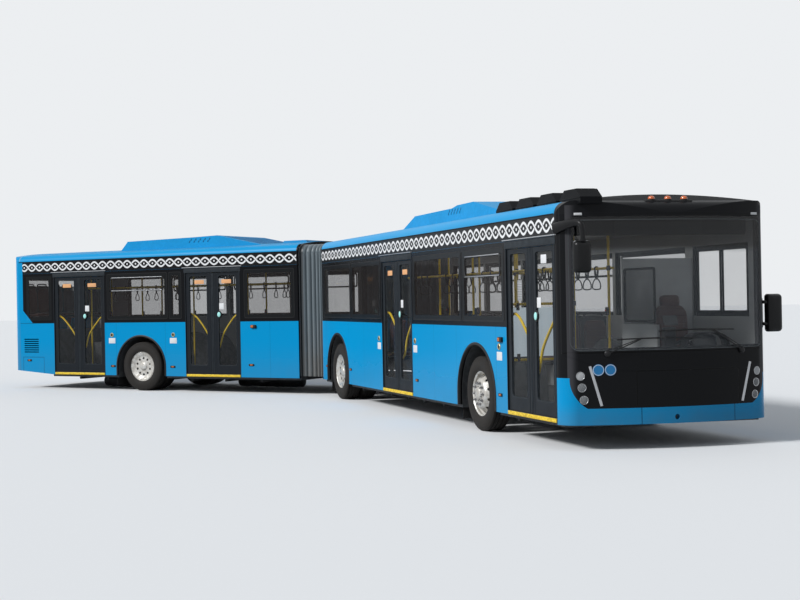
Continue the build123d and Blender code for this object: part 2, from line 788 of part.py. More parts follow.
def mirrors():
    """Door-side mirror hanging from an arm at the brow and driver-side mirror on the pillar."""
    hang_y = sum(RIGHT_MIRROR_Y) / 2
    x = RIGHT_MIRROR_X - MIRROR_DEPTH
    arm_z = RIGHT_MIRROR_Z[1] + 190
    elbow = (x + 45, hang_y, arm_z)
    right = block((x, RIGHT_MIRROR_X), RIGHT_MIRROR_Y, RIGHT_MIRROR_Z)
    right += rod((x + 45, hang_y, RIGHT_MIRROR_Z[1] - 5), elbow, 30) + Pos(*elbow) * Sphere(30)
    right += rod((MASK_X + 40, -HALF_W - 18, arm_z - 40), elbow, 30)
    right += block((MASK_X, MASK_X + 80), (-HALF_W - 40, -INNER_Y), (arm_z - 90, arm_z + 10))
    left_x = MASK_X + 60
    left = block((left_x, left_x + MIRROR_DEPTH), LEFT_MIRROR_Y, LEFT_MIRROR_Z)
    foot_z = (LEFT_MIRROR_Z[0] + 60, LEFT_MIRROR_Z[1] - 60)
    left += block((MASK_X + 20, left_x + 40), (INNER_Y, LEFT_MIRROR_Y[0] + 5), foot_z)
    return left + right - along_z(nose_plan(0), (LEFT_MIRROR_Z[0], CROWN_Z))


def wipers():
    """Two arms with their blades, parked low on the windscreen."""
    x = NOSE_X + 12
    foot_x = NOSE_X - 42
    row = None
    for pivot, hold, ends in WIPERS:
        arm = rod((foot_x - 46, *pivot), (foot_x, *pivot), 28)
        arm += rod((foot_x, *pivot), (x, *hold), 11)
        arm += rod((x + 2, ends[0], hold[1]), (x + 2, ends[1], hold[1]), 9)
        row = arm if row is None else row + arm
    return row - along_z(nose_plan(0), (WIPERS[0][0][1] - 100, WIPERS[1][1][1] + 100))


def dashboard():
    """Instrument desk across the front, with the steering column and wheel.

    Behind the first door the desk is only a shallow shelf, so that the open leaf stands clear.
    """
    desk = block(DESK_X, DESK_Y, DESK_Z) + block(SHELF_X, SHELF_Y, DESK_Z)
    desk += block(DESK_X, (DESK_Y[0] + 30, DESK_Y[1]), (FLOOR_TOP, DESK_Z[0] + 5))
    desk += block(SHELF_X, (SHELF_Y[0], DESK_Y[0] + 50), (FLOOR_TOP, DESK_Z[0] + 5))
    x, y, z = STEERING_WHEEL
    desk += rod((x + 160, y, DESK_Z[0] + 40), (x, y, z), 35)
    tilt = Pos(x, y, z) * Rot(0, -25, 0)
    desk += tilt * Torus(STEERING_WHEEL_R, 16)
    for size in ((2 * STEERING_WHEEL_R - 10, 40, 20), (40, 2 * STEERING_WHEEL_R - 10, 20)):
        desk += tilt * Box(*size)
    return desk


def cab():
    """Driver's platform, the partition behind it and the cab's low door."""
    platform = block(CAB_X, CAB_Y, (FLOOR_TOP, FLOOR_TOP + CAB_STEP))
    wall = block((CAB_X[0] - 40, CAB_X[0]), CAB_Y, (FLOOR_TOP, PARTITION_Z))
    door = block((CAB_X[0], CAB_X[1] - 160), (CAB_Y[0], CAB_Y[0] + 30), (FLOOR_TOP + CAB_STEP, CAB_DOOR_Z))
    return platform + wall + door


def seat(x, y, width, base, pedestal):
    """Seat facing forward: pedestal, cushion and back, each a small gap from the next."""
    half_x = SEAT_DEPTH / 2
    across = (y - width / 2, y + width / 2)
    cushion_z = base + pedestal
    return [
        block((x - 120, x + 120), (y - 60, y + 60), (base, cushion_z - FIT)),
        block((x - half_x + BACK + FIT, x + half_x), across, (cushion_z, cushion_z + CUSHION)),
        block((x - half_x, x - half_x + BACK), across, (cushion_z, cushion_z + BACK_RISE)),
    ]


def seats(places, *singles):
    """Double seats at the given places along each side, and single seats from full rows."""
    rows = list(singles)
    for side, row in places.items():
        rows += [(x, side * SIDE_SEAT_Y, SEAT_W, FLOOR_TOP, PEDESTAL) for x in row]
    return Compound([solid for row in rows for solid in seat(*row)])


def bench():
    """Rear bench on the deck over the engine."""
    x = station(-7560)
    return [(x, y, BENCH_W, BAY_TOP_Z, BENCH_PEDESTAL) for y in (BENCH_Y, 0, -BENCH_Y)]


def handrails(poles):
    """Overhead rails along both sides of the aisle, clamped beside poles from floor to ceiling."""
    bars = []
    for side in (1, -1):
        rail_y = side * (RAIL_Y + 2 * RAIL_R + FIT)
        bars.append(rod((poles[0] - 50, rail_y, RAIL_Z), (poles[-1] + 50, rail_y, RAIL_Z), RAIL_R))
        for x in poles:
            bars.append(rod((x, side * RAIL_Y, FLOOR_TOP), (x, side * RAIL_Y, CEILING_Z), RAIL_R))
    return Compound(bars)


def turntable_ring():
    """Bearing ring on a beam behind the front section, with its bore on the pivot."""
    ring = Pos(PIVOT_X, 0, sum(RING_Z) / 2) * Cylinder(RING_R, RING_Z[1] - RING_Z[0])
    ring += block((PIVOT_X, FRONT_REAR_X + 300), (-BEAM_HALF_Y, BEAM_HALF_Y), RING_Z)
    ring += block((FRONT_REAR_X + 50, FRONT_REAR_X + 300), (-BEAM_HALF_Y, BEAM_HALF_Y), (RING_Z[0], FLOOR_BOTTOM))
    return ring - Pos(PIVOT_X, 0, 200) * Cylinder(TURN_PIN_R + FIT, 200)


def turntable_plate():
    """Plate and walkway disc on a beam ahead of the rear section, with the pivot pin."""
    plate = Pos(0, 0, sum(PLATE_Z) / 2) * Cylinder(RING_R, PLATE_Z[1] - PLATE_Z[0])
    plate += block((REAR_FRONT_X, 0), (-BEAM_HALF_Y, BEAM_HALF_Y), PLATE_Z)
    walk_z = (PLATE_Z[1] - 5, FLOOR_TOP)
    plate += Pos(0, 0, sum(walk_z) / 2) * Cylinder(WALKWAY_R, walk_z[1] - walk_z[0])
    plate += block((REAR_FRONT_X, 0), (-WALKWAY_R, WALKWAY_R), walk_z)
    pin_z = (RING_Z[0], PLATE_Z[0] + 5)
    plate += Pos(0, 0, sum(pin_z) / 2) * Cylinder(TURN_PIN_R, pin_z[1] - pin_z[0])
    collar_z = (RING_Z[1] + FIT, PLATE_Z[0] + 5)
    return plate + Pos(0, 0, sum(collar_z) / 2) * Cylinder(RING_R - 120, collar_z[1] - collar_z[0])


def bellows_section(fold):
    """Open-bottomed hoop of the bellows, fold inside its outermost size."""
    half = BELLOWS_HALF_Y - fold
    low, high = BELLOWS_Z[0], BELLOWS_Z[1] - fold
    inner = half - BELLOWS_WALL
    bevel = 120
    return [
        (-half, low),
        (-half, high - bevel),
        (-half + bevel, high),
        (half - bevel, high),
        (half, high - bevel),
        (half, low),
        (inner, low),
        (inner, high - bevel),
        (inner - bevel + 20, high - BELLOWS_WALL),
        (-inner + bevel - 20, high - BELLOWS_WALL),
        (-inner, high - bevel),
        (-inner, low),
    ]


def bellows():
    """Fan of folds from the front section to the turned rear section."""
    start = Vector(FRONT_REAR_X, 0, 0)
    turn = Vector(PIVOT_X, 0, 0)
    angle = radians(BEND)
    end = turn + Vector(REAR_FRONT_X * cos(angle), REAR_FRONT_X * sin(angle), 0)
    sections = []
    steps = 2 * BELLOWS_PLEATS
    for n in range(steps + 1):
        t = n / steps
        middle = start * (1 - t) ** 2 + turn * (2 * t * (1 - t)) + end * t**2
        forward = (start - turn) * (1 - t) + (turn - end) * t
        turned_by = atan2(forward.Y, forward.X)
        plane = Plane(
            origin=middle,
            x_dir=(-sin(turned_by), cos(turned_by), 0),
            z_dir=(cos(turned_by), sin(turned_by), 0),
        )
        fold = BELLOWS_FOLD * (n % 2)
        sections.append(plane * polygon(bellows_section(fold)))
    return loft(sections, ruled=True)


# Rear section pieces


def tail_shell():
    """Closed tail end with its window and lid openings."""
    height = (SKIRT_Z, CROWN_Z + 10)
    solid = along_x(roof_outline(SKIRT_Z), (TAIL_X - 1, TAIL_SHELL_X))
    solid &= along_z(tail_plan(0), height)
    cabin = along_x(cabin_outline(SKIRT_Z - 1), (TAIL_X + WALL, TAIL_SHELL_X + 1))
    cabin &= along_z(tail_plan(WALL, TAIL_SHELL_X + 2), (SKIRT_Z - 1, CROWN_Z))
    shell = solid - cabin
    x_cut = (TAIL_X - 1, TAIL_X + WALL + 1)
    shell -= block(x_cut, (-TAIL_WINDOW_HALF_Y, TAIL_WINDOW_HALF_Y), TAIL_WINDOW_Z)
    shell -= tail_pane(0)
    shell -= block(x_cut, (-LID_HALF_Y - 5, LID_HALF_Y + 5), (LID_Z[0] - 5, LID_Z[1] + 5))
    shell -= tail_lamps(0)
    shell -= tail_rise()
    for y in LID_HINGE_Y:
        for side in (1, -1):
            ear = (y + side * 31, y + side * 48)
            x = (LID_HINGE_X - 2 * LID_PIN_R, TAIL_X + 2)
            z = (LID_HINGE_Z - 1.5 * LID_PIN_R, LID_HINGE_Z + 30)
            shell += block(x, ear, z) - lid_pin(y, FIT)
    return shell


def lid_pin(y, play=0):
    """Hinge pin of the engine lid at one of its hinges."""
    return Pos(LID_HINGE_X, y, LID_HINGE_Z) * Rot(90, 0, 0) * Cylinder(LID_PIN_R + play, 96)


def tail_rise():
    """Wedge cut away under the tail, so that the skirt rises to the rear."""
    wedge = polygon(
        [
            (BAY_X, SKIRT_Z - 1),
            (BAY_X, SKIRT_Z),
            (TAIL_X - 10, SKIRT_Z + TAIL_RISE),
            (TAIL_X - 10, SKIRT_Z - 1),
        ]
    )
    return along_y(wedge, (-HALF_W - 1, HALF_W + 1))


def tail_pane(play=FIT):
    reach = REBATE - play
    half = TAIL_WINDOW_HALF_Y + reach
    x = (TAIL_X, TAIL_X + REBATE_DEPTH - play)
    return block(x, (-half, half), (TAIL_WINDOW_Z[0] - reach, TAIL_WINDOW_Z[1] + reach))


def tail_lamps(play=FIT):
    """Column of three round lamps at each rear corner."""
    group = None
    middle = TAIL_X - 5 + TAIL_LAMP_DEPTH / 2
    for side in (1, -1):
        for z in TAIL_LAMP_Z:
            lamp = Pos(middle, side * TAIL_LAMP_Y, z) * Rot(0, 90, 0)
            lamp *= Cylinder(TAIL_LAMP_R - play, TAIL_LAMP_DEPTH - 2 * play)
            group = lamp if group is None else group + lamp
    return group


def engine_lid():
    """Rear hatch over the engine bay, hinged along its top edge."""
    x = (TAIL_X, TAIL_X + LID_THICK)
    lid = block(x, (-LID_HALF_Y, LID_HALF_Y), LID_Z)
    for n in range(LID_SLOTS):
        z = LID_Z[0] + 180 + LID_SLOT_PITCH * n
        lid -= block((x[0] - 1, x[1] + 1), (-LID_SLOT_HALF_Y, LID_SLOT_HALF_Y), (z, z + 16))
    for y in LID_HINGE_Y:
        ear = (y - 28, y + 28)
        lid += block((LID_HINGE_X - 8, TAIL_X + 2), ear, (LID_Z[1] - 40, LID_Z[1]))
        lid += block((LID_HINGE_X - 8, TAIL_X - LEAF_GAP), ear, (LID_Z[1] - 5, LID_HINGE_Z))
        lid += lid_pin(y)
    return lid


def rear_floor():
    """Rear floor, the bulkhead and deck over the engine bay, the steps and the engine bearers."""
    boards = floor((BAY_X, REAR_FRONT_X), [REAR_ARCH], REAR_DOORS)
    deck_z = (BAY_TOP_Z - 30, BAY_TOP_Z)
    bulkhead_x = (BAY_X - 30 - FIT, BAY_X - FIT)
    boards.append(block(bulkhead_x, (-INNER_Y, INNER_Y), (FLOOR_BOTTOM, deck_z[0] - FIT)))
    boards.append(block((TAIL_SHELL_X, BAY_X), (-INNER_Y, INNER_Y), deck_z))
    bearer_x = (TAIL_X + WALL + 5, bulkhead_x[0] - FIT)
    for y in (ENGINE_Y[0] + 200, ENGINE_Y[1] - 200):
        boards.append(block(bearer_x, (y - 40, y + 40), (FLOOR_BOTTOM + 20, FLOOR_TOP)))
    low = FLOOR_TOP
    for reach, top in BAY_STEPS:
        x = (BAY_X + FIT, BAY_X + reach)
        boards.append(block(x, (-STEP_HALF_Y, STEP_HALF_Y), (low + FIT, top)))
        low = top
    return Compound(boards)


def side_grille():
    """Cooling slots through the right wall beside the engine."""
    group = None
    z = GRILLE_Z[0]
    while z < GRILLE_Z[1]:
        slot = block(GRILLE_X, side_range(-1, WALL + 1, -1), (z, z + GRILLE_SLOT))
        group = slot if group is None else group + slot
        z += 2 * GRILLE_SLOT
    return group


def main():
    os.makedirs("parts", exist_ok=True)
    front_solids()
    rear_solids()
    wheel_solids()


def front_solids():
    nose = along_z(nose_plan(WALL + FIT, MASK_X + FIT), (FLOOR_BOTTOM, FLOOR_TOP))
    ahead = (NOSE_X - FLOOR_SETBACK, NOSE_X + 1)
    nose -= block(ahead, (-HALF_W, HALF_W), (FLOOR_BOTTOM - 1, FLOOR_TOP + 1))
    boards = floor((FRONT_REAR_X, MASK_X), [FRONT_ARCH, MID_ARCH], FRONT_DOORS)
    door_1, door_2 = FRONT_DOORS.values()
    right = panel(-1, (door_2[1], door_1[0]), RIGHT_WINDOWS_FRONT[2:], [FRONT_ARCH])
    right += panel(-1, (FRONT_REAR_X, door_2[0]), RIGHT_WINDOWS_FRONT[:2], [MID_ARCH])
    left_windows = [*LEFT_WINDOWS_FRONT, DRIVER_WINDOW]
    left = panel(1, (FRONT_REAR_X, MASK_X), left_windows, [FRONT_ARCH, MID_ARCH])
    panes = [pane(-1, x, WINDOW_Z) for x in RIGHT_WINDOWS_FRONT]
    panes += [pane(1, x, WINDOW_Z) for x in left_windows]
    mask, bumper, lamps = front_shells()
    pieces = {
        "front_floor": Compound([*boards, nose]),
        "front_right_panels": right,
        "front_left_wall": left,
        "front_roof": Compound(roof((FRONT_REAR_X, MASK_X), FRONT_DOORS)),
        "front_mask": mask,
        "front_bumper": bumper,
        "front_lamps": lamps,
        "windscreen": windscreen(),
        "front_windows": Compound(panes),
        "front_ac_unit": ac_unit(FRONT_AC),
        "roof_pods": roof_pods(),
        "beacons": beacons(),
        "mirrors": mirrors(),
        "wipers": wipers(),
        "dashboard": dashboard(),
        "cab_partition": cab(),
        "front_seats": seats(FRONT_SEAT_X, DRIVER_SEAT),
        "front_handrails": handrails(FRONT_POLES),
        "front_axle": front_axle(),
        "mid_axle": Pos(MID_AXLE_X, 0, 0) * portal_axle(),
        "turntable_ring": turntable_ring(),
        "bellows": bellows(),
        "steering_knuckle_left": knuckle(1),
        "steering_knuckle_right": knuckle(-1),
    }
    for name, door in FRONT_DOORS.items():
        pieces[f"{name}_front_leaf"] = door_leaf(door, True)
        pieces[f"{name}_rear_leaf"] = door_leaf(door, False)
    for name, shape in pieces.items():
        write(name, shape, FRONT_PLACE)


def rear_solids():
    door_3, door_4 = REAR_DOORS.values()
    right = panel(-1, (door_3[1], REAR_FRONT_X), RIGHT_WINDOWS_REAR[:1], [])
    right += panel(-1, (door_4[1], door_3[0]), RIGHT_WINDOWS_REAR[1:3], [REAR_ARCH])
    right += panel(-1, (TAIL_SHELL_X, door_4[0]), RIGHT_WINDOWS_REAR[3:], [])
    right -= tail_rise() + side_grille()
    left = panel(1, (TAIL_SHELL_X, REAR_FRONT_X), LEFT_WINDOWS_REAR, [REAR_ARCH]) - tail_rise()
    panes = [pane(-1, x, WINDOW_Z) for x in RIGHT_WINDOWS_REAR]
    panes += [pane(1, x, WINDOW_Z) for x in LEFT_WINDOWS_REAR]
    panes.append(tail_pane())
    shell, *cantrails = roof((TAIL_SHELL_X, REAR_FRONT_X), REAR_DOORS)
    pieces = {
        "rear_floor": rear_floor(),
        "rear_right_panels": right,
        "rear_left_wall": left,
        "rear_roof": Compound([shell + hatch(), *cantrails]),
        "rear_end": tail_shell(),
        "rear_windows": Compound(panes),
        "rear_ac_unit": ac_unit(REAR_AC),
        "rear_seats": seats(REAR_SEAT_X, *bench()),
        "rear_handrails": handrails(REAR_POLES),
        "rear_axle": Pos(REAR_AXLE_X, 0, 0) * portal_axle(),
        "engine": block(ENGINE_X, ENGINE_Y, ENGINE_Z),
        "turntable_plate": turntable_plate(),
        "tail_lamps": tail_lamps(),
        "engine_lid": engine_lid(),
    }
    for name, door in REAR_DOORS.items():
        pieces[f"{name}_front_leaf"] = door_leaf(door, True)
        pieces[f"{name}_rear_leaf"] = door_leaf(door, False)
    for name, shape in pieces.items():
        write(name, shape, REAR_PLACE)


def wheel_solids():
    for side, hand in ((1, "left"), (-1, "right")):
        place = FRONT_PLACE * wheel_place(side, 0, FRONT_WHEEL_Y)
        write(f"tyre_front_{hand}", tyre(), place)
        write(f"rim_front_{hand}", front_rim(), place)
        for axle, section_place, x in (
            ("mid", FRONT_PLACE, MID_AXLE_X),
            ("rear", REAR_PLACE, REAR_AXLE_X),
        ):
            place = section_place * wheel_place(side, x, TWIN_OUTER_Y)
            write(f"tyres_{axle}_{hand}", Compound([tyre(), tyre(-TWIN_PITCH)]), place)
            write(f"rims_{axle}_{hand}", twin_rim(), place)


main()
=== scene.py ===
"""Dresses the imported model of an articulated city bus: paint, glass, tyres, seats and fittings.

All lengths are in metres. A piece is worked out with its section of the bus drawn straight, X forward
and Y to the left, and is then moved into the shared frame by its section.
"""

import json
from functools import partialmethod
from math import cos, pi, radians, sin

import bpy
import numpy as np
from mathutils import Matrix

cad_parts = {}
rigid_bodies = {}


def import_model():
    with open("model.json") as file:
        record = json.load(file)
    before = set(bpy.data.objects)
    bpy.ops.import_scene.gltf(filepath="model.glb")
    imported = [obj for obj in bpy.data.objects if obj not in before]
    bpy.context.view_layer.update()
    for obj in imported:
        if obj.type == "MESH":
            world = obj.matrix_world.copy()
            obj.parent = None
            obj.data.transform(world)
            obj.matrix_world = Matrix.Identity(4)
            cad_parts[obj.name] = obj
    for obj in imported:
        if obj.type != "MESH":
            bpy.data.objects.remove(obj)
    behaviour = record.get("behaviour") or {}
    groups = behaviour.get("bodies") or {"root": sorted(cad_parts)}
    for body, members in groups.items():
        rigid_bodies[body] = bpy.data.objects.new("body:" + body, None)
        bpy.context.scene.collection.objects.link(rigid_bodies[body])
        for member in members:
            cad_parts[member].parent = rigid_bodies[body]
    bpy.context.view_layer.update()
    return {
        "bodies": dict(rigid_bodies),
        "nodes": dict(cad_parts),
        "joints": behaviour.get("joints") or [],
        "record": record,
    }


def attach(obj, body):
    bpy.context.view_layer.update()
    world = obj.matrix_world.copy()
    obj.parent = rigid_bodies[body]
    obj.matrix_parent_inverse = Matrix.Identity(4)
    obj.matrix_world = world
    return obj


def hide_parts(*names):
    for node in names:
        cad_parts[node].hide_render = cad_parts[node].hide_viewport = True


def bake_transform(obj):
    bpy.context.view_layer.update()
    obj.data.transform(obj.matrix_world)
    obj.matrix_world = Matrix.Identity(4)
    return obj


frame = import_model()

NODES = frame["nodes"]
PIVOT = next(j["pos_m"] for j in frame["joints"] if j["name"] == "articulation")
BEND = radians(44)

# Half width, heights of the belt, the cant and the band over it, and stations of the body along X
HALF_W = 1.265
BELT_Z = 1.346
CANT_Z = 2.370
BAND_Z = 2.614
NOSE_X = 2.770
MASK_X = 2.406
FRONT_END = -7.356
REAR_START = -0.980
TAIL_X = -7.979
TYRE_R = 0.4785
WINDOW_Z = (1.430, 2.290)
# Places along X of the axles, each in its section's drawing, and of the articulation in the front one's
AXLE_X = {"front": 0.0, "mid": -6.400, "rear": -4.633}
PIVOT_X = -8.009

# Side windows of each section: low end, high end along X, and whether a top light opens
RIGHT_WINDOWS = {
    "front_section": (
        (-7.240, -5.580, False), (-5.500, -3.960, False), (-2.370, -0.500, False), (-0.410, 0.930, True),
    ),
    "rear_section": (
        (-2.140, -1.080, False), (-3.900, -3.640, False), (-5.440, -3.980, True), (-7.600, -6.960, False),
    ),
}
LEFT_WINDOWS = {
    "front_section": (
        (-7.240, -5.790, False), (-5.710, -4.210, True), (-4.130, -2.630, True), (-2.550, -1.050, True),
        (-0.970, 0.900, True), (1.080, 2.300, False),
    ),
    "rear_section": (
        (-2.600, -1.080, True), (-4.180, -2.680, True), (-5.760, -4.260, True), (-6.900, -5.840, False),
    ),
}


class Section:
    """One half of the bus: the body that its pieces ride on, and its place in the shared frame."""

    def __init__(self, body, x, y, angle):
        self.body = body
        self.name = body.split("_")[0]
        self.origin = np.array([x, y, 0.0])
        self.angle = angle

    def place(self, points):
        """Points drawn straight, turned about Z by the section's angle and moved to its origin."""
        c, s = cos(self.angle), sin(self.angle)
        turn = np.array([[c, s, 0], [-s, c, 0], [0, 0, 1]])
        return np.asarray(points, float) @ turn + self.origin


FRONT = Section("front_section", PIVOT[0] - PIVOT_X, PIVOT[1], 0.0)
REAR = Section("rear_section", PIVOT[0], PIVOT[1], BEND)


# Shader expressions


class Value:
    """A number in a node tree: arithmetic on it adds Math nodes."""

    def __init__(self, nodes, socket):
        self.nodes = nodes
        self.socket = socket

    def calc(self, operation, *others, swap=False):
        parts = [*others, self] if swap else [self, *others]
        made = self.nodes.node("ShaderNodeMath", {"operation": operation}, dict(enumerate(parts)))
        return Value(self.nodes, made.outputs[0])

    __add__ = __radd__ = partialmethod(calc, "ADD")
    __sub__ = partialmethod(calc, "SUBTRACT")
    __rsub__ = partialmethod(calc, "SUBTRACT", swap=True)
    __mul__ = __rmul__ = partialmethod(calc, "MULTIPLY")
    __truediv__ = partialmethod(calc, "DIVIDE")
    sin = partialmethod(calc, "SINE")
    cos = partialmethod(calc, "COSINE")
    abs = partialmethod(calc, "ABSOLUTE")
    root = partialmethod(calc, "SQRT")
    min = partialmethod(calc, "MINIMUM")
    max = partialmethod(calc, "MAXIMUM")

    def above(self, level, blur=0.0006):
        """1 where the value is above the level, 0 where it is below, blurred over a little."""
        settings = {"interpolation_type": "SMOOTHSTEP"}
        inputs = {"Value": self, "From Min": level - blur, "From Max": level + blur}
        return Value(self.nodes, self.nodes.node("ShaderNodeMapRange", settings, inputs).outputs["Result"])

    def below(self, level, blur=0.0006):
        return 1 - self.above(level, blur)

    def within(self, low, high, blur=0.0006):
        return self.above(low, blur) * self.below(high, blur)

    def near(self, level, reach=0.003, blur=0.001):
        """1 where the value is within reach of the level: a thin line."""
        return (self - level).abs().below(reach, blur)

    def wave(self, pitch):
        """Distance from the nearest multiple of pitch."""
        return self.calc("PINGPONG", pitch / 2)


class Nodes:
    """A node tree with one method that adds any node."""

    def __init__(self, tree):
        self.tree = tree

    def plug(self, socket, value):
        """Links a value or an output to the socket, or sets a constant on it."""
        if isinstance(value, (Value, bpy.types.NodeSocket)):
            self.tree.links.new(getattr(value, "socket", value), socket)
        else:
            socket.default_value = value

    def node(self, kind, settings=None, inputs=None):
        made = self.tree.nodes.new(kind)
        for key, value in (settings or {}).items():
            setattr(made, key, value)
        for key, value in (inputs or {}).items():
            self.plug(made.inputs[key], value)
        return made

    def split(self, vector):
        """The three numbers of a vector output."""
        parts = self.node("ShaderNodeSeparateXYZ", inputs={"Vector": vector})
        return [Value(self, parts.outputs[k]) for k in "XYZ"]

    def seen(self):
        """1 for rays of the camera, straight, mirrored or let through, and 0 for those that only light."""
        rays = self.node("ShaderNodeLightPath")
        straight, mirrored, through = (
            Value(self, rays.outputs[f"Is {kind} Ray"]) for kind in ("Camera", "Glossy", "Transmission")
        )
        return straight.max(mirrored).max(through)


class Finish(Nodes):
    """A Principled material, found by its name. Its constants are set on the shader's own sockets."""

    known = {}

    def __init__(self, name, color, roughness=0.4, metallic=0.0, **sockets):
        self.material = bpy.data.materials.new(name)
        self.material.use_nodes = True
        super().__init__(self.material.node_tree)
        self.shader = self.tree.nodes["Principled BSDF"]
        self.color = color
        sockets = {"base_color": (*color, 1.0), "roughness": roughness, "metallic": metallic, **sockets}
        for key, value in sockets.items():
            self.set(key.replace("_", " ").title().replace("Ior", "IOR"), value)
        Finish.known[name] = self

    def set(self, socket, value):
        self.plug(self.shader.inputs[socket], value)

    def place(self, kind="Object"):
        return self.node("ShaderNodeTexCoord").outputs[kind]

    def xyz(self, section):
        """The point's own three numbers, back in the section's straight drawing."""
        x, y, z = self.split(self.place())
        x, y = x - section.origin[0], y - section.origin[1]
        if section.angle:
            c, s = cos(section.angle), sin(section.angle)
            x, y = x * c + y * s, y * c - x * s
        return x, y, z

    def noise(self, scale, detail=4.0, stretch=None):
        point = self.place()
        if stretch:
            point = self.node("ShaderNodeMapping", inputs={"Vector": point, "Scale": stretch}).outputs[0]
        inputs = {"Vector": point, "Scale": scale, "Detail": detail, "Roughness": 0.55}
        return Value(self, self.node("ShaderNodeTexNoise", inputs=inputs).outputs["Fac"])

    def layers(self, *coats):
        """The finish's colour with (share, colour) coats laid over it in turn, as its Base Color."""
        color = (*self.color, 1.0)
        for share, over in coats:
            made = self.node("ShaderNodeMix", {"data_type": "RGBA"}, {0: share, 6: color, 7: (*over, 1.0)})
            color = made.outputs[2]
        self.set("Base Color", color)

    def bump(self, height, depth):
        """Relief from a height that runs from 0 to 1, depth metres deep."""
        made = self.node("ShaderNodeBump", inputs={"Height": height, "Distance": depth, "Strength": 1.0})
        self.set("Normal", made.outputs["Normal"])


# Surfaces


class Shape:
    """Points with their four-sided and three-sided faces. Shapes add up to one mesh."""

    def __init__(self, points, quads=None, tris=None):
        self.points = np.asarray(points, float).reshape(-1, 3)
        self.quads = np.zeros((0, 4), int) if quads is None else np.asarray(quads, int).reshape(-1, 4)
        self.tris = np.zeros((0, 3), int) if tris is None else np.asarray(tris, int).reshape(-1, 3)

    def __add__(self, other):
        n = len(self.points)
        return Shape(
            np.vstack([self.points, other.points]),
            np.vstack([self.quads, other.quads + n]),
            np.vstack([self.tris, other.tris + n]),
        )

    def move(self, x=0.0, y=0.0, z=0.0):
        return Shape(self.points + (x, y, z), self.quads, self.tris)

    def turn(self, axis, degrees, about=(0, 0, 0)):
        """Turned about the axis "X", "Y" or "Z" through a point."""
        matrix = np.array(Matrix.Rotation(radians(degrees), 3, axis))
        about = np.array(about, float)
        return Shape((self.points - about) @ matrix.T + about, self.quads, self.tris)


def total(shapes):
    """All shapes as one."""
    shapes = list(shapes)
    counts = np.cumsum([0] + [len(s.points) for s in shapes[:-1]])
    return Shape(
        np.vstack([s.points for s in shapes]),
        np.vstack([s.quads + n for s, n in zip(shapes, counts)]),
        np.vstack([s.tris + n for s, n in zip(shapes, counts)]),
    )


def set_out(shape, places):
    """Copies of a shape moved to each (x, y, z) place, as one."""
    return total(shape.move(*place) for place in places)


def stand(flat, axis, level):
    """Flat pairs made points: level is their number along the axis "X", "Y" or "Z"."""
    return np.insert(flat, "XYZ".index(axis), level, axis=1)


def along_x(start, end, y, z):
    """Straight path parallel to X."""
    return [(start, y, z), (end, y, z)]


def grid(points, wrap_u=False, wrap_v=False):
    """Quads over a (rows, columns, 3) array of points, joined round where it wraps."""
    rows, columns, _ = points.shape
    u = np.arange(rows if wrap_u else rows - 1)[:, None]
    v = np.arange(columns if wrap_v else columns - 1)[None, :]
    u1, v1 = (u + 1) % rows, (v + 1) % columns
    quads = np.stack([u * columns + v, u1 * columns + v, u1 * columns + v1, u * columns + v1], axis=-1)
    return Shape(points.reshape(-1, 3), quads.reshape(-1, 4))


def fans(rows, columns):
    """Triangles from two poles, numbered after a grid's points, to its first and its last row."""
    n, end = rows * columns, (rows - 1) * columns
    ring = np.arange(columns)
    after = (ring + 1) % columns
    first = np.stack([np.full(columns, n), ring, after], axis=1)
    last = np.stack([np.full(columns, n + 1), end + after, end + ring], axis=1)
    return np.vstack([first, last])


def outward(shape):
    """A closed shape with its faces turned out: they are reversed where the volume inside is negative."""
    p = shape.points - shape.points.mean(0)
    faces = np.vstack([shape.quads[:, [0, 1, 2]], shape.quads[:, [0, 2, 3]], shape.tris])
    a, b, c = (p[faces[:, k]] for k in range(3))
    if (a * np.cross(b, c)).sum() < 0:
        return Shape(shape.points, shape.quads[:, ::-1], shape.tris[:, ::-1])
    return shape


def tube(loops, closed=False, band=False):
    """Skin over closed loops of equal count, with a fan from its middle over each end.

    A band is a skin whose loops run out along one side and back along the other: its ends are closed
    by faces from side to side.
    """
    loops = np.asarray(loops, float)
    rows, columns, _ = loops.shape
    shape = grid(loops, wrap_u=closed, wrap_v=True)
    if closed:
        return outward(shape)
    if band:
        k = np.arange(columns // 2 - 1)
        across = np.stack([k, k + 1, columns - 2 - k, columns - 1 - k], axis=1)
        far = across[:, ::-1] + (rows - 1) * columns
        return outward(Shape(shape.points, np.vstack([shape.quads, across, far])))
    points = np.vstack([shape.points, loops[0].mean(0), loops[-1].mean(0)])
    return outward(Shape(points, shape.quads, fans(rows, columns)))


def swept(path, profile, closed=False, up=(0, 0, 1)):
    """A closed flat profile of (side, up) points carried along a path.

    At each point side is the path's direction crossed with up, and the profile is widened at bends.
    """
    path = np.asarray(path, float)
    if closed:
        before, after = np.roll(path, 1, 0), np.roll(path, -1, 0)
    else:
        before = np.vstack([path[:1], path[:-1]])
        after = np.vstack([path[1:], path[-1:]])
    ahead = unit(after - before)
    side = unit(np.cross(ahead, np.asarray(up, float)))
    over = np.cross(side, ahead)
    into = unit(np.where(np.abs(path - before).sum(1, keepdims=True) > 0, path - before, after - path))
    widen = 1 / np.clip((into * ahead).sum(1), 0.5, 1)[:, None, None]
    profile = np.asarray(profile, float)
    across = profile[None, :, :1] * side[:, None] * widen
    return tube(path[:, None] + across + profile[None, :, 1:] * over[:, None], closed)


def unit(vectors):
    return vectors / np.maximum(np.linalg.norm(vectors, axis=-1, keepdims=True), 1e-12)


def circle(radius, count=12):
    angle = np.arange(count) * 2 * pi / count
    return np.stack([radius * np.cos(angle), radius * np.sin(angle)], axis=1)


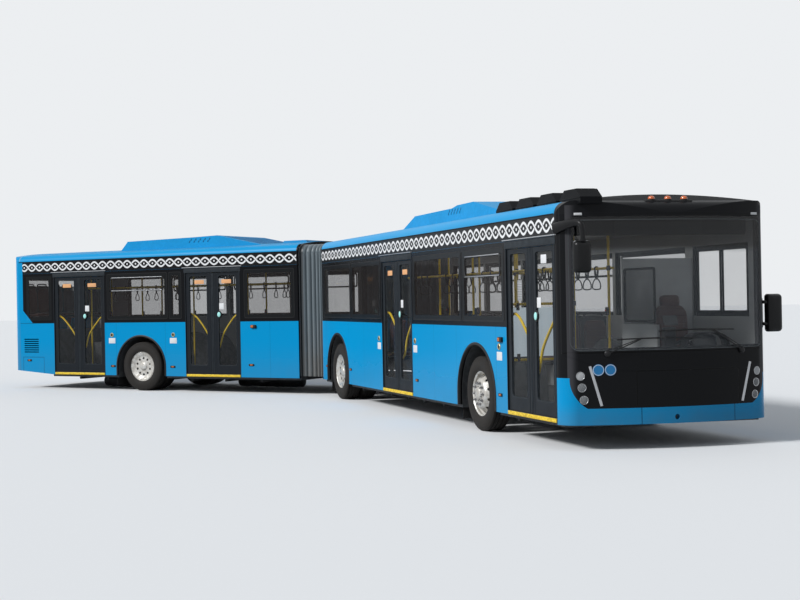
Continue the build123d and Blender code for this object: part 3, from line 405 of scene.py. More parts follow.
def pipe(path, radius, count=10, closed=False, up=(0, 0, 1)):
    return swept(path, circle(radius, count), closed, up)


def smooth_path(corners, count=8, closed=False):
    """Curve through corners: Catmull-Rom, each stretch a cubic on its two ends and their neighbours."""
    p = np.asarray(corners, float)
    if closed:
        p = np.vstack([p[-1:], p, p[:2]])
    else:
        p = np.vstack([2 * p[0] - p[1], p, 2 * p[-1] - p[-2]])
    t = np.linspace(0, 1, count, endpoint=False)[:, None]
    parts = []
    for a, b, c, d in zip(p[:-3], p[1:-2], p[2:-1], p[3:]):
        parts.append(
            0.5 * (2 * b + (c - a) * t + (2 * a - 5 * b + 4 * c - d) * t**2 + (3 * b - a - 3 * c + d) * t**3)
        )
    if not closed:
        parts.append(p[-2:-1])
    return np.vstack(parts)


def rounded(width, height, radius, count=5):
    """Rectangle about the origin with round corners, anticlockwise."""
    radius = min(radius, width / 2 - 1e-5, height / 2 - 1e-5)
    angle = np.linspace(0, pi / 2, count)
    corner = np.stack([np.cos(angle), np.sin(angle)], axis=1) * radius
    loop = []
    for n, (sx, sy) in enumerate(((1, 1), (-1, 1), (-1, -1), (1, -1))):
        c, s = cos(n * pi / 2), sin(n * pi / 2)
        turned = corner @ np.array([[c, s], [-s, c]])
        loop.append(turned + (sx * (width / 2 - radius), sy * (height / 2 - radius)))
    return np.vstack(loop)


def plate(width, height, thick, corner=0.01, edge=0.002, along="X"):
    """Flat plate about the origin with round corners and softened edges.

    Loops of the rounded outline step in at both faces by edge times one minus the sine. The plate's
    thickness lies along X, Y or Z. Along Y its width stands upright.
    """
    angle = np.linspace(0, pi / 2, 4)
    steps = [(edge * (1 - s), thick / 2 - edge + edge * c) for s, c in zip(np.sin(angle), np.cos(angle))]
    rows = [(inset, -h) for inset, h in steps] + [(inset, h) for inset, h in steps[::-1]]
    loops = []
    for inset, h in rows:
        flat = rounded(width - 2 * inset, height - 2 * inset, max(corner - inset, 1e-4))
        loops.append(stand(flat[:, ::-1] if along == "Y" else flat, along, h))
    return tube(loops)


def box(x, y, z, edge=0.004, corner=None):
    """Box with softened edges from (low, high) pairs."""
    size = [high - low for low, high in (x, y, z)]
    edge = min(edge, *(0.45 * s for s in size))
    shape = plate(*size, edge if corner is None else corner, edge, "Z")
    return shape.move(*((low + high) / 2 for low, high in (x, y, z)))


def turned(profile, axis="Y", count=48):
    """Surface of revolution of (radius, along) points about an axis through the origin, closed.

    A profile that ends off the axis at one end is closed there by a flat face, and one that ends off
    it at both ends is joined round to its start.
    """
    profile = np.asarray(profile, float)
    on_axis = profile[[0, -1], 0] == 0
    if on_axis.any():
        if not on_axis[0]:
            profile = np.vstack([[0, profile[0, 1]], profile])
        if not on_axis[1]:
            profile = np.vstack([profile, [0, profile[-1, 1]]])
        body = profile[1:-1]
    else:
        body = profile[:-1] if np.allclose(profile[0], profile[-1]) else profile
    rings = [stand(circle(1, count) * radius, "Z", along) for radius, along in body]
    made = grid(np.array(rings), wrap_u=not on_axis.any(), wrap_v=True)
    if on_axis.any():
        poles = [[0, 0, profile[0, 1]], [0, 0, profile[-1, 1]]]
        made = Shape(np.vstack([made.points, poles]), made.quads, fans(len(body), count))
    order = {"X": [2, 0, 1], "Y": [1, 2, 0], "Z": [0, 1, 2]}[axis]
    return outward(Shape(made.points[:, order], made.quads, made.tris))


def piece(name, shape, finish, section=FRONT, body=None, sharp=35, replaces=(), uv=None):
    """Puts a shape, or several as one, into the scene as an object that rides on a body.

    The body is the section's own, or another by name. uv holds one pair for each corner of each face,
    in the order of the faces.
    """
    shape = shape if isinstance(shape, Shape) else total(shape)
    mesh = bpy.data.meshes.new(name)
    n_quads, n_tris = len(shape.quads), len(shape.tris)
    mesh.vertices.add(len(shape.points))
    mesh.vertices.foreach_set("co", section.place(shape.points).astype(np.float32).ravel())
    mesh.loops.add(4 * n_quads + 3 * n_tris)
    mesh.loops.foreach_set("vertex_index", np.concatenate([shape.quads.ravel(), shape.tris.ravel()]))
    mesh.polygons.add(n_quads + n_tris)
    starts = np.concatenate([np.arange(n_quads) * 4, 4 * n_quads + np.arange(n_tris) * 3])
    mesh.polygons.foreach_set("loop_start", starts)
    mesh.update(calc_edges=True)
    mesh.validate()
    if uv is not None:
        layer = mesh.uv_layers.new(name="Surface")
        layer.data.foreach_set("uv", np.asarray(uv, np.float32).ravel())
    mesh.materials.append(Finish.known[finish].material)
    mesh.shade_smooth()
    mesh.set_sharp_from_angle(angle=radians(sharp))
    made = link(name, mesh)
    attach(made, body or section.body)
    finish in SLOTS
    if replaces:
        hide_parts(*replaces)
    return made


def link(name, data):
    """A new object in the scene."""
    made = bpy.data.objects.new(name, data)
    bpy.context.scene.collection.objects.link(made)
    return made


def paint(finish, *nodes):
    """Gives CAD nodes a material."""
    for name in nodes:
        mesh = NODES[name].data
        mesh.materials.clear()
        mesh.materials.append(Finish.known[finish].material)


# Colours and finishes

# The record's slot that each finish of a new piece stands for
SLOTS = {
    finish: slot
    for slot, finishes in {
        "roof_blue": ("roof_unit_paint", "unit_louvre_blue"),
        "window_glass": ("door_glass", "cab_glass"),
        "lamp_clear": (
            "lamp_ring", "lamp_frosted", "lamp_reflector", "lamp_lens", "light_strip", "outline_lamp_lens",
        ),
        "lamp_amber": ("beacon_amber", "marker_amber", "lens_amber"),
        "lamp_red": ("lens_red",),
        "trim_black": (
            "mirror_shell", "wiper_black", "beacon_bar", "arch_rubber", "marker_foot", "window_seal",
            "top_light_frame", "screen_edge_line", "tail_ring",
        ),
        "door_black": ("door_frame_black", "door_rubber", "button_ring"),
        "desk_grey": ("cab_black", "dark_screen"),
        "seat_fabric": ("seat_cloth",),
        "rail_yellow": ("rail_paint", "sill_yellow"),
        "chassis_black": ("underbody_paint", "mud_flap"),
        "tyre": ("tyre_rubber",),
        "rim_silver": ("wheel_steel", "nut_steel", "valve_brass"),
        "bellows_grey": ("bellows_cloth", "bellows_frame"),
    }.items()
    for finish in finishes
}

BLUE = (0.0005, 0.285, 0.60)
BLACK = (0.006, 0.0065, 0.0078)
WHITE = (0.80, 0.81, 0.82)
LINING = (0.46, 0.47, 0.47)
YELLOW = (0.94, 0.64, 0.02)
# Where the outer skin begins, how deep the lining lies, and the blur between them
SKIN_Y = HALF_W - 0.004
LINING_Y = HALF_W - 0.058
BLUR = 0.001


def woven_border(x, z, middle, reach=0.066, pitch=0.42):
    """Share of white in a plain two-strand woven border along X.

    Each strand is a sine wave about the middle height, the second the first turned over. Each passes
    under the other at every second crossing, and a small disc fills each eye.
    """
    turn = x * (2 * pi / pitch)
    swing = turn.sin() * reach
    steep = (1 + turn.cos() * turn.cos() * (2 * pi * reach / pitch) ** 2).root()
    up, down = (z - middle - swing).abs() / steep, (z - middle + swing).abs() / steep
    half_turn = (x * (pi / pitch) * 2).cos()
    upper = half_turn.above(0.86, 0.03)
    lower = half_turn.below(-0.86, 0.03)
    half_width, gap = 0.0155, 0.024
    first = up.below(half_width, BLUR) * (1 - upper * down.below(gap, BLUR))
    second = down.below(half_width, BLUR) * (1 - lower * up.below(gap, BLUR))
    eye = (x - pitch / 4).wave(pitch / 2)
    disc = (eye * eye + (z - middle) * (z - middle)).root().below(0.018, BLUR)
    return first.max(second).max(disc)


def wall_paint(section, joints, tail=None):
    """Side wall: blue up to the belt, black above it, lined inside, with thin joints between panels.

    tail gives the black part's end, the slant of its corner and the flap's ends along X.
    """
    f = Finish(f"side_paint_{section.body}", BLACK, 0.3, specular_ior_level=0.07)
    x, y, z = f.xyz(section)
    outer = y.abs().above(HALF_W - 0.013, BLUR)
    inner = y.abs().below(LINING_Y, BLUR)
    black = z.above(BELT_Z)
    joint = z.near(BELT_Z, 0.0035)
    for at in joints:
        joint = joint.max(x.near(at, 0.0022) * z.below(BELT_Z) * 0.5)
    if tail:
        end, slant, flap = tail
        flap_z = 0.645
        black = black * x.above(end) * (x + z).above(slant)
        ends = (x - flap[0]).abs().min((x - flap[1]).abs()).below(0.003, BLUR) * z.below(flap_z)
        joint = joint.max(ends).max(z.near(flap_z) * x.within(*flap))
        joint = joint.max(x.near(-7.84) * z.below(BELT_Z))
    grime = f.noise(1.7, 6) * z.below(0.62, 0.42) * 0.30
    f.layers(
        (outer * (1 - black), BLUE),
        (outer * (1 - black) * f.noise(0.6, 2).within(0.5, 0.9, 0.2) * 0.10, (0.001, 0.32, 0.66)),
        (outer * joint, (0.001, 0.02, 0.05)),
        (outer * grime, (0.12, 0.13, 0.13)),
        (inner, LINING),
    )
    f.set("Roughness", 0.22 + outer * grime * 0.9 + inner * 0.35)
    f.bump(1 - outer * joint, 0.002)


def roof_paint(section):
    """Roof: blue over the coves, a black band with the woven border along each side, lined inside."""
    f = Finish(f"roof_paint_{section.body}", BLUE, 0.4, specular_ior_level=0.12)
    x, y, z = f.xyz(section)
    outer = y.abs().above(SKIN_Y, BLUR) * z.below(BAND_Z)
    if section is REAR:
        outer = outer * x.above(-7.72)
    band = outer * z.above(CANT_Z + 0.005)
    over_door = outer * z.below(CANT_Z + 0.004)
    hoop = x.above(REAR_START - 0.022) if section is REAR else x.below(FRONT_END + 0.018)
    low = z.below(CANT_Z + 0.31)
    inside = (y.abs().below(LINING_Y, BLUR) * z.below(2.700)).max(low * y.abs().below(1.2052, 0.0005))
    dust = f.noise(2.2, 6).within(0.45, 0.8, 0.2) * z.above(2.74, 0.03)
    ribs = x.wave(0.9).below(0.004, BLUR) * z.above(2.745, 0.002)
    f.layers(
        (band + over_door, BLACK),
        (band * woven_border(x, z, 2.500), WHITE),
        (dust * 0.22, (0.20, 0.28, 0.33)),
        (ribs, (0.01, 0.05, 0.10)),
        (hoop, BLACK),
        (inside, LINING),
    )
    f.set("Roughness", 0.35 + dust * 0.3 + inside * 0.3)
    f.bump(1 - ribs, 0.003)


def mask_paint():
    """Gloss black front with thin joints between its panels, creases to its corners, satin over the brow.

    A crease is a parabola in Y that climbs from each end of the lower panel's top joint.
    """
    f = Finish("mask_gloss", BLACK, 0.12, specular_ior_level=0.10)
    x, y, z = f.xyz(FRONT)
    face = x.above(MASK_X + 0.09, 0.01)
    panel_y, foot_z, top_z = (-0.47, 0.82), 0.462, 0.865
    line = z.near(top_z, 0.004) * y.within(*panel_y, 0.002)
    for at in panel_y:
        line = line.max(y.near(at, 0.0035) * z.within(foot_z, top_z, 0.002))
    line = line.max(z.near(1.075, 0.005))
    creases = []
    for at, sign in zip(panel_y, (-1, 1)):
        run = ((y - at) * sign).max(0)
        creases.append((z - top_z - run * run * 0.32).above(0, 0.016) * run.above(0.001))
    inside = x.below(2.60, 0.02) * y.abs().below(LINING_Y, BLUR) * z.below(2.70)
    f.layers((line * face, (0.001, 0.001, 0.001)), (inside * 0.9, (0.05, 0.05, 0.055)))
    f.set("Roughness", 0.13 + z.above(2.60, 0.03) * 0.22 + inside * 0.5)
    f.bump(1 - line * face + (creases[0] + creases[1]) * face, 0.004)


def bumper_paint():
    """Blue bumper with its two joints and a darker tow socket cover."""
    f = Finish("bumper_paint", BLUE, 0.25, specular_ior_level=0.12)
    x, y, z = f.xyz(FRONT)
    line = y.near(-0.42, 0.0035).max(y.near(0.75, 0.0035)) * x.above(MASK_X + 0.2)
    socket = (y * y + (z - 0.35) * (z - 0.35)).root().below(0.0295, BLUR)
    grime = f.noise(2.5, 6) * z.below(0.42, 0.15) * 0.5
    f.layers((grime, (0.12, 0.12, 0.11)), (line, (0.0, 0.02, 0.05)), (socket, BLACK))
    f.set("Roughness", 0.18 + grime * 0.8)
    f.bump(1 - line, 0.003)


def side_glass(section):
    """Tinted side glass, opaque black along the edges of each pane and blue past the slanted corner."""
    f = Finish(f"side_glass_{section.body}", (0.006, 0.007, 0.008), 0.03, specular_ior_level=0.12)
    x, y, z = f.xyz(section)
    clear = None
    for side, windows in ((-1, RIGHT_WINDOWS[section.body]), (1, LEFT_WINDOWS[section.body])):
        for low, high, _ in windows:
            pane = x.within(low + 0.05, high - 0.05, 0.004) * (y * side).above(0.5)
            clear = pane if clear is None else clear + pane
    past, tint = 0.0, 0.74
    if section is REAR:
        ahead_of_tail = x.above(TAIL_X + 0.1)
        clear = clear * ahead_of_tail + y.abs().below(0.86, 0.004) * x.below(TAIL_X + 0.1)
        past = (x + z).below(-6.11) * ahead_of_tail
        clear = clear * (1 - past)
    else:
        tint = x.above(1.0) * 0.16 + tint
    clear = clear * z.within(WINDOW_Z[0] + 0.045, WINDOW_Z[1] - 0.045, 0.004)
    f.layers((clear, (0.045, 0.040, 0.040)), (past, BLUE))
    f.set("Roughness", (1 - clear) * 0.28 + 0.03)
    f.set("Alpha", 1 - clear * tint)


def screen_glass():
    """Windscreen: clear with a faint dusty haze, and a dark tint across its top."""
    f = Finish("screen_glass", BLACK, 0.02)
    dusk = f.xyz(FRONT)[2].above(2.20, 0.05)
    f.layers((1 - dusk, (0.22, 0.24, 0.26)))
    f.set("Alpha", dusk * 0.30 + f.noise(1.6, 3) * 0.06 + 0.10)


def speckled(name, color, roughness, amount, scale, depth, shine=0.2, **sockets):
    """Moulded or coated surface: fine grain in its colour and its relief."""
    f = Finish(name, color, roughness, specular_ior_level=shine, **sockets)
    grain = f.noise(scale, 3)
    large = f.noise(scale / 20, 4)
    lighter = tuple(min(1, c * 1.6 + 0.01) for c in color)
    darker = tuple(c * 0.55 for c in color)
    f.layers((grain.within(0.55, 0.9, 0.1) * amount, lighter), (large.within(0.5, 0.9, 0.1) * amount, darker))
    f.set("Roughness", large * 0.15 + (roughness - 0.07))
    f.bump(grain, depth)


# Speckled finishes: colour, roughness, share of specks, their scale and relief, and shine where it isn't 0.2
COATINGS = {
    "chassis_black": ((0.02, 0.02, 0.021), 0.6, 0.4, 40, 0.0008),
    "underbody_paint": ((0.03, 0.031, 0.033), 0.6, 0.5, 60, 0.001),
    "mud_flap": ((0.015, 0.015, 0.015), 0.7, 0.4, 90, 0.0006),
    "trim_black": ((0.0045, 0.005, 0.006), 0.45, 0.2, 90, 0.0002, 0.07),
    "floor_covering": ((0.10, 0.105, 0.11), 0.6, 0.5, 220, 0.0003),
    "desk_moulding": ((0.035, 0.036, 0.04), 0.55, 0.3, 300, 0.0003),
    "cab_laminate": ((0.46, 0.475, 0.48), 0.4, 0.1, 150, 0.0002),
    "cab_black": ((0.02, 0.02, 0.022), 0.5, 0.3, 220, 0.0003),
    "roof_unit_paint": (BLUE, 0.5, 0.12, 20, 0.0003),
    "unit_louvre_blue": ((0.002, 0.10, 0.23), 0.5, 0.3, 100, 0.0004),
    "door_frame_black": ((0.009, 0.012, 0.016), 0.45, 0.2, 120, 0.0002, 0.12),
    "door_rubber": ((0.026, 0.032, 0.038), 0.6, 0.4, 220, 0.0003, 0.12),
    "button_ring": ((0.010, 0.012, 0.012), 0.4, 0.2, 200, 0.0002),
    "button_lens": ((0.42, 0.86, 0.82), 0.25, 0.1, 200, 0.0001),
    "blank_label": ((0.78, 0.79, 0.80), 0.5, 0.1, 200, 0.0001),
    "blank_orange_label": ((0.80, 0.42, 0.20), 0.5, 0.1, 200, 0.0001),
    "side_label": ((0.74, 0.75, 0.76), 0.45, 0.1, 200, 0.0001),
    "blank_plate": ((0.68, 0.69, 0.70), 0.4, 0.1, 200, 0.0001),
    "lamp_housing": ((0.03, 0.03, 0.032), 0.3, 0.2, 100, 0.0002),
    "screen_edge_line": ((0.085, 0.095, 0.10), 0.4, 0.2, 120, 0.0002),
    "wiper_black": ((0.015, 0.015, 0.016), 0.4, 0.2, 120, 0.0003),
    "beacon_bar": ((0.02, 0.02, 0.021), 0.4, 0.2, 90, 0.0003),
    "arch_rubber": ((0.016, 0.016, 0.017), 0.48, 0.3, 90, 0.0005),
    "marker_foot": ((0.012, 0.012, 0.012), 0.45, 0.2, 120, 0.0003),
    "window_seal": ((0.012, 0.012, 0.013), 0.5, 0.3, 160, 0.0003),
    "top_light_frame": ((0.010, 0.0105, 0.011), 0.4, 0.2, 160, 0.0002),
    "tail_ring": ((0.02, 0.02, 0.021), 0.35, 0.2, 120, 0.0002),
    "seat_plastic": ((0.035, 0.038, 0.042), 0.45, 0.3, 240, 0.0003),
    "seat_leg_paint": ((0.10, 0.105, 0.11), 0.45, 0.3, 160, 0.0003),
    "rail_clamp": ((0.03, 0.03, 0.032), 0.4, 0.2, 160, 0.0002),
    "strap_web": ((0.03, 0.03, 0.033), 0.8, 0.4, 400, 0.0003),
    "ceiling_panel": ((0.42, 0.425, 0.43), 0.5, 0.1, 120, 0.0003),
    "ceiling_lamp": ((0.72, 0.73, 0.74), 0.3, 0.1, 200, 0.0002),
    "air_duct": ((0.30, 0.305, 0.31), 0.5, 0.15, 160, 0.0003),
    "reader_case": ((0.55, 0.38, 0.03), 0.4, 0.1, 200, 0.0002),
}
for name, values in COATINGS.items():
    speckled(name, *values)
speckled("cast_iron", (0.12, 0.12, 0.125), 0.55, 0.5, 90, 0.001, metallic=0.6)
speckled("nut_steel", (0.30, 0.30, 0.31), 0.35, 0.4, 120, 0.0002, metallic=1.0)
speckled("valve_brass", (0.50, 0.38, 0.16), 0.35, 0.3, 150, 0.0001, metallic=1.0)
speckled("bellows_frame", (0.10, 0.105, 0.11), 0.45, 0.3, 90, 0.0003, metallic=0.4)
speckled("bare_alloy", (0.52, 0.53, 0.55), 0.3, 0.2, 180, 0.0002, metallic=0.9)
speckled("lamp_ring", (0.45, 0.46, 0.47), 0.25, 0.2, 200, 0.0001, metallic=0.9)
speckled("lock_metal", (0.58, 0.47, 0.24), 0.35, 0.3, 160, 0.0002, metallic=0.8)
speckled("light_strip", (0.50, 0.51, 0.53), 0.2, 0.15, 120, 0.0003, metallic=0.5, coat_weight=0.5)
speckled("rail_paint", YELLOW, 0.35, 0.1, 200, 0.0001, coat_weight=0.3)
speckled("lamp_frosted", (0.46, 0.47, 0.48), 0.35, 0.2, 160, 0.0002, coat_weight=0.6)
speckled("mirror_shell", (0.006, 0.0062, 0.007), 0.32, 0.2, 90, 0.0003, 0.15, coat_weight=0.1)
speckled("outline_lamp_lens", (0.70, 0.71, 0.72), 0.2, 0.1, 200, 0.0001, coat_weight=0.8)
speckled("marker_amber", (0.55, 0.14, 0.015), 0.25, 0.3, 160, 0.0003, coat_weight=0.5)
speckled("stop_button", (0.55, 0.02, 0.015), 0.3, 0.1, 160, 0.0001, coat_weight=0.5)
speckled("dark_screen", (0.016, 0.022, 0.026), 0.2, 0.1, 60, 0.0001, coat_weight=0.3)
speckled("reader_face", (0.02, 0.022, 0.025), 0.2, 0.1, 160, 0.0001, coat_weight=0.5)
speckled("ceiling_lamp_lit", (0.72, 0.73, 0.74), 0.3, 0.1, 200, 0.0002,
         emission_strength=2.2, emission_color=(1.0, 0.99, 0.96, 1.0))
# The wind panel's emission is a painted glow for the daylight behind it: the panel is no lamp.
speckled("wind_panel_painted_glow", (0.60, 0.66, 0.70), 0.35, 0.1, 150, 0.0002,
         emission_strength=0.5, emission_color=(0.56, 0.66, 0.72, 1.0))
Finish("door_glass", (0.05, 0.055, 0.06), 0.03, alpha=0.14)
Finish("cab_glass", (0.05, 0.06, 0.06), 0.03, alpha=0.25)
Finish("lamp_lens", (0.60, 0.63, 0.66), 0.04, alpha=0.28, coat_weight=1.0)

wall_paint(FRONT, (-7.10, -5.72, -4.85, -1.55, -0.68, 0.68))
wall_paint(REAR, (-1.60, -4.02, -5.24), (-7.72, -6.11, (-7.73, -7.16)))
for section in (FRONT, REAR):
    roof_paint(section)
    side_glass(section)
    paint(f"side_paint_{section.body}", f"{section.name}_right_panels", f"{section.name}_left_wall")
    paint(f"roof_paint_{section.body}", f"{section.name}_roof")
    paint(f"side_glass_{section.body}", f"{section.name}_windows")
for make in (mask_paint, bumper_paint, screen_glass):
    make()
paint("mask_gloss", "front_mask")
paint("bumper_paint", "front_bumper")
paint("screen_glass", "windscreen")
paint("chassis_black", "front_axle", "mid_axle", "rear_axle", "turntable_ring", "turntable_plate")
paint("cast_iron", "steering_knuckle_left", "steering_knuckle_right", "engine")
paint("floor_covering", "front_floor", "rear_floor")
paint("desk_moulding", "dashboard")
paint("cab_laminate", "cab_partition")
paint("roof_unit_paint", "front_ac_unit", "rear_ac_unit")
paint("trim_black", "roof_pods", "mirrors", "wipers")
paint("rail_paint", "front_handrails", "rear_handrails")
paint("lamp_housing", "front_lamps")


# Wheels

# How far in the second tyre of a twin wheel stands
TWIN_GAP = -0.305
# For each axle: its section, the outer tyre's distance from the middle, and the shift of each tyre
WHEELS = {
    "front": (FRONT, 1.087, (0.0,)),
    "mid": (FRONT, 1.102, (0.0, TWIN_GAP)),
    "rear": (REAR, 1.102, (0.0, TWIN_GAP)),
}
HAND_HOLES = 10


def tyre():
    """Tyre about the Y axis, its texture pairs and their length from the bead to the crown.

    A closed round profile with four grooves is carried round the axle: a Catmull-Rom curve through the
    sidewall, with a flat tread between its shoulders.
    """
    side = [(0.287, 0.112), (0.300, 0.121), (0.335, 0.134), (0.378, 0.1375), (0.425, 0.131), (0.458, 0.119)]
    wall = smooth_path(side, 4)
    crown = [(0.4725, 0.110), (0.4775, 0.100)]
    across = [0.083, 0.082, 0.072, 0.071, 0.033, 0.032, 0.022, 0.021]
    depth = [0.0, 0.013, 0.013, 0.0, 0.0, 0.013, 0.013, 0.0]
    tread = [(TYRE_R - d, w) for w, d in zip(across, depth)]
    half = np.vstack([wall, crown, tread])
    loop = np.vstack([half, half[::-1] * (1, -1)])
    turns = 120
    angle = np.arange(turns) * 2 * pi / turns
    r, w = loop[:, 0], loop[:, 1]
    level = np.broadcast_to(w, (turns, len(r)))
    points = np.stack([np.outer(np.cos(angle), r), level, np.outer(np.sin(angle), r)], axis=2)
    shape = grid(points, wrap_u=True, wrap_v=True)
    corner_u = np.arange(turns)[:, None, None] + np.array([0, 1, 1, 0])
    corner_v = np.arange(len(r))[None, :, None] + np.array([0, 0, 1, 1])
    run = np.concatenate([[0], np.cumsum(np.hypot(*np.diff(np.vstack([loop, loop[:1]]), axis=0).T))])
    u = np.broadcast_to(corner_u / turns, (turns, len(r), 4))
    v = np.broadcast_to(run[corner_v], (turns, len(r), 4))
    return shape, np.stack([u, v], axis=3).reshape(-1, 2), run[len(half)]


def tyre_rubber(crown_run):
    """Worn black rubber: cross grooves in the shoulders, fine rings on the sidewalls, dust."""
    f = Finish("tyre_rubber", (0.011, 0.0105, 0.010), 0.75, specular_ior_level=0.25)
    u, v, _ = f.split(f.place("UV"))
    from_crown = (v - crown_run).abs()
    notch = (u + from_crown * 0.25).wave(1 / 90).below(0.0011, 0.0004) * from_crown.within(0.082, 0.150, 0.004)
    sipe = (u + from_crown * 0.4).wave(1 / 90).below(0.0006, 0.0003) * from_crown.within(0.036, 0.070, 0.002)
    rings = from_crown.wave(0.012).below(0.0012, 0.0006) * from_crown.within(0.165, 0.235, 0.004)
    dust = f.noise(9, 6).within(0.42, 0.8, 0.16)
    f.layers((dust * 0.28, (0.055, 0.048, 0.042)), (notch.max(sipe), (0.004, 0.004, 0.004)))
    f.set("Roughness", 0.62 + dust * 0.25)
    f.bump(1 - notch - sipe * 0.5 + rings * 0.3 + f.noise(160, 2) * 0.08, 0.008)


def holed_disc(height, inner, low, high, outer, hole_at, hole_r, thick=0.011):
    """Sheet of revolution about Y with a ring of round holes, its height a function of the radius.

    In each sector the sheet runs from the hole's circle out to the sector's four edges. Plain rings
    join it to the inner and the outer radius. The back face lies thick behind the front.
    """
    sector, k = 2 * pi / HAND_HOLES, 6
    t, s = np.linspace(-0.5, 0.5, k + 1), np.linspace(0, 1, k + 1)
    edge = [(low, a) for a in t] + [(low + (high - low) * b, 0.5) for b in s[1:]]
    edge += [(high, a) for a in t[::-1][1:]] + [(low + (high - low) * b, -0.5) for b in s[::-1][1:-1]]
    edge = np.array(edge[::-1]) * (1, sector)
    flat = np.stack([edge[:, 0] * np.cos(edge[:, 1]), edge[:, 0] * np.sin(edge[:, 1])], axis=1)
    hole = unit(flat - (hole_at, 0)) * hole_r + (hole_at, 0)
    rows = np.linspace(0, 1, 4)[:, None, None]
    cell = hole + (flat - hole) * rows**1.3
    angles = (np.arange(HAND_HOLES * k) / k - 0.5) * sector
    spin = np.stack([np.cos(angles), np.sin(angles)], axis=1)
    down = (0, thick, 0)

    def lifted(flat):
        return np.stack([flat[..., 1], height(np.hypot(flat[..., 0], flat[..., 1])), flat[..., 0]], axis=-1)

    front, walls = [], []
    for n in range(HAND_HOLES):
        c, q = cos(n * sector), sin(n * sector)
        turn = np.array([[c, q], [-q, c]])
        rim = lifted(hole @ turn)
        front.append(grid(lifted(cell @ turn), wrap_v=True))
        walls.append(grid(np.stack([rim - down, rim]), wrap_v=True))
    for span in (np.linspace(inner, low, 7), np.linspace(high, outer, 4)):
        front.append(grid(lifted(span[:, None, None] * spin), wrap_v=True))
    front = total(front)
    back = Shape(front.points - down, front.quads[:, ::-1])
    for radius, lift in ((inner, 1), (outer, -1)):
        rim = lifted(radius * spin)
        walls.append(grid(np.stack([rim - down, rim][::lift]), wrap_v=True))
    return outward(merged(total([front, back, *walls])))


def merged(shape, near=1e-5):
    """The shape with points that lie in one place made one."""
    keys = np.round(shape.points / near).astype(np.int64)
    _, first, back = np.unique(keys, axis=0, return_index=True, return_inverse=True)
    back = back.reshape(-1)
    return Shape(shape.points[first], back[shape.quads], back[shape.tris])


def ring_of(shape, radius, count, start=0.0):
    """Copies of a shape drawn at the Y axis, set round it."""
    return total(shape.move(z=radius).turn("Y", start + 360 * n / count) for n in range(count))


def hex_nut(y, size=0.016, height=0.022):
    """Wheel nut standing along Y on a washer, with the stud's end in it."""
    def stack(count, *profile):
        raised = [(r, y + h) for r, h in profile]
        return turned([(0, raised[0][1]), *raised, (0, raised[-1][1])], count=count)

    nut = stack(6, (size, 0), (size, height - 0.003), (size * 0.86, height))
    washer = stack(16, (size * 1.25, -0.004), (size * 1.25, 0.003), (size, 0.004))
    top = y + height
    stud = turned([(0, y), (size * 0.55, y), (size * 0.55, top + 0.010), (0, top + 0.012)], count=10)
    return nut + washer + stud


def rim_barrel(middle_y):
    """Rim: a round-lipped flange at each edge and a dropped centre, turned about the axle."""
    half = 0.114
    lip = [(0.270, half - 0.016), (0.281, half - 0.010), (0.287, half - 0.002), (0.2955, half + 0.003)]
    lip += [(0.2985, half - 0.001), (0.2955, half - 0.007), (0.286, half - 0.012)]
    well = [(0.2855, 0.07), (0.262, 0.05), (0.262, -0.05), (0.2855, -0.07)]
    inside = [(0.276, -0.07), (0.253, -0.047), (0.253, 0.047), (0.270, 0.066)]
    other = [(r, -w) for r, w in lip[::-1]]
    return turned([*lip, *well, *other, *inside, lip[0]], count=80).move(y=middle_y)


def dish(centre, flat_r, edge, rim_r=0.262):
    """Height of a wheel disc over its radius: flat at the hub, then a smooth rise to the rim."""
    def height(radius):
        t = np.clip((radius - flat_r) / (rim_r - flat_r), 0, 1)
        return centre + (edge - centre) * (3 * t**2 - 2 * t**3)
    return height


def front_wheel_rim():
    """Single wheel: the disc bulges out past the rim's edge, ten nuts, a domed hub and small bolts."""
    disc = holed_disc(dish(0.138, 0.168, 0.034), 0.075, 0.190, 0.252, 0.2685, 0.222, 0.0225)
    hub = turned([
        (0.055, 0.100), (0.055, 0.116), (0.100, 0.120), (0.100, 0.140), (0.098, 0.146), (0.084, 0.149),
        (0.082, 0.157), (0.076, 0.163), (0.060, 0.168), (0.035, 0.171), (0, 0.172),
    ])
    nuts = ring_of(hex_nut(0.142), 0.1395, 10, 18) + ring_of(hex_nut(0.148, 0.006, 0.006), 0.091, 10)
    return total([rim_barrel(0.0), disc, hub]), nuts


def twin_wheel_rim():
    """Twin wheel: the disc lies deep inside the outer rim, with a long hub of its own, under a cover."""
    disc = holed_disc(dish(-0.104, 0.170, -0.060), 0.12, 0.188, 0.252, 0.2685, 0.221, 0.0235)
    hub = turned([
        (0.055, -0.18), (0.055, -0.14), (0.124, -0.112), (0.124, -0.100), (0.106, -0.096), (0.104, -0.060),
        (0.098, -0.042), (0.088, -0.036), (0.054, -0.034), (0.052, -0.026), (0.040, -0.021), (0, -0.020),
    ])
    nuts = ring_of(hex_nut(-0.100), 0.148, 10, 18) + ring_of(hex_nut(-0.040, 0.0055, 0.006), 0.073, 12)
    return total([rim_barrel(0.0), rim_barrel(TWIN_GAP), disc, hub]), nuts


def wheel_cover():
    """Pressed cover over a twin wheel: a shallow bowl with ten round holes and a raised middle."""
    bowl = holed_disc(dish(0.076, 0.185, 0.104), 0.070, 0.130, 0.190, 0.269, 0.160, 0.0235, 0.004)
    arc = np.linspace(0, pi / 2, 7)[:-1]
    cap = [(0.074, 0.070), (0.088, 0.0745), (0.082, 0.080)]
    cap += [(0.074 * cos(a), 0.084 + 0.018 * sin(a)) for a in arc] + [(0, 0.102)]
    return bowl + turned(cap)


def valve_stem(y):
    """Brass valve stem bent out through a hand hole."""
    path = smooth_path([(0, y - 0.02, 0.262), (0, y + 0.004, 0.250), (0, y + 0.035, 0.240)], 5)
    return pipe(path, 0.0045, 8, up=(1, 0, 0))


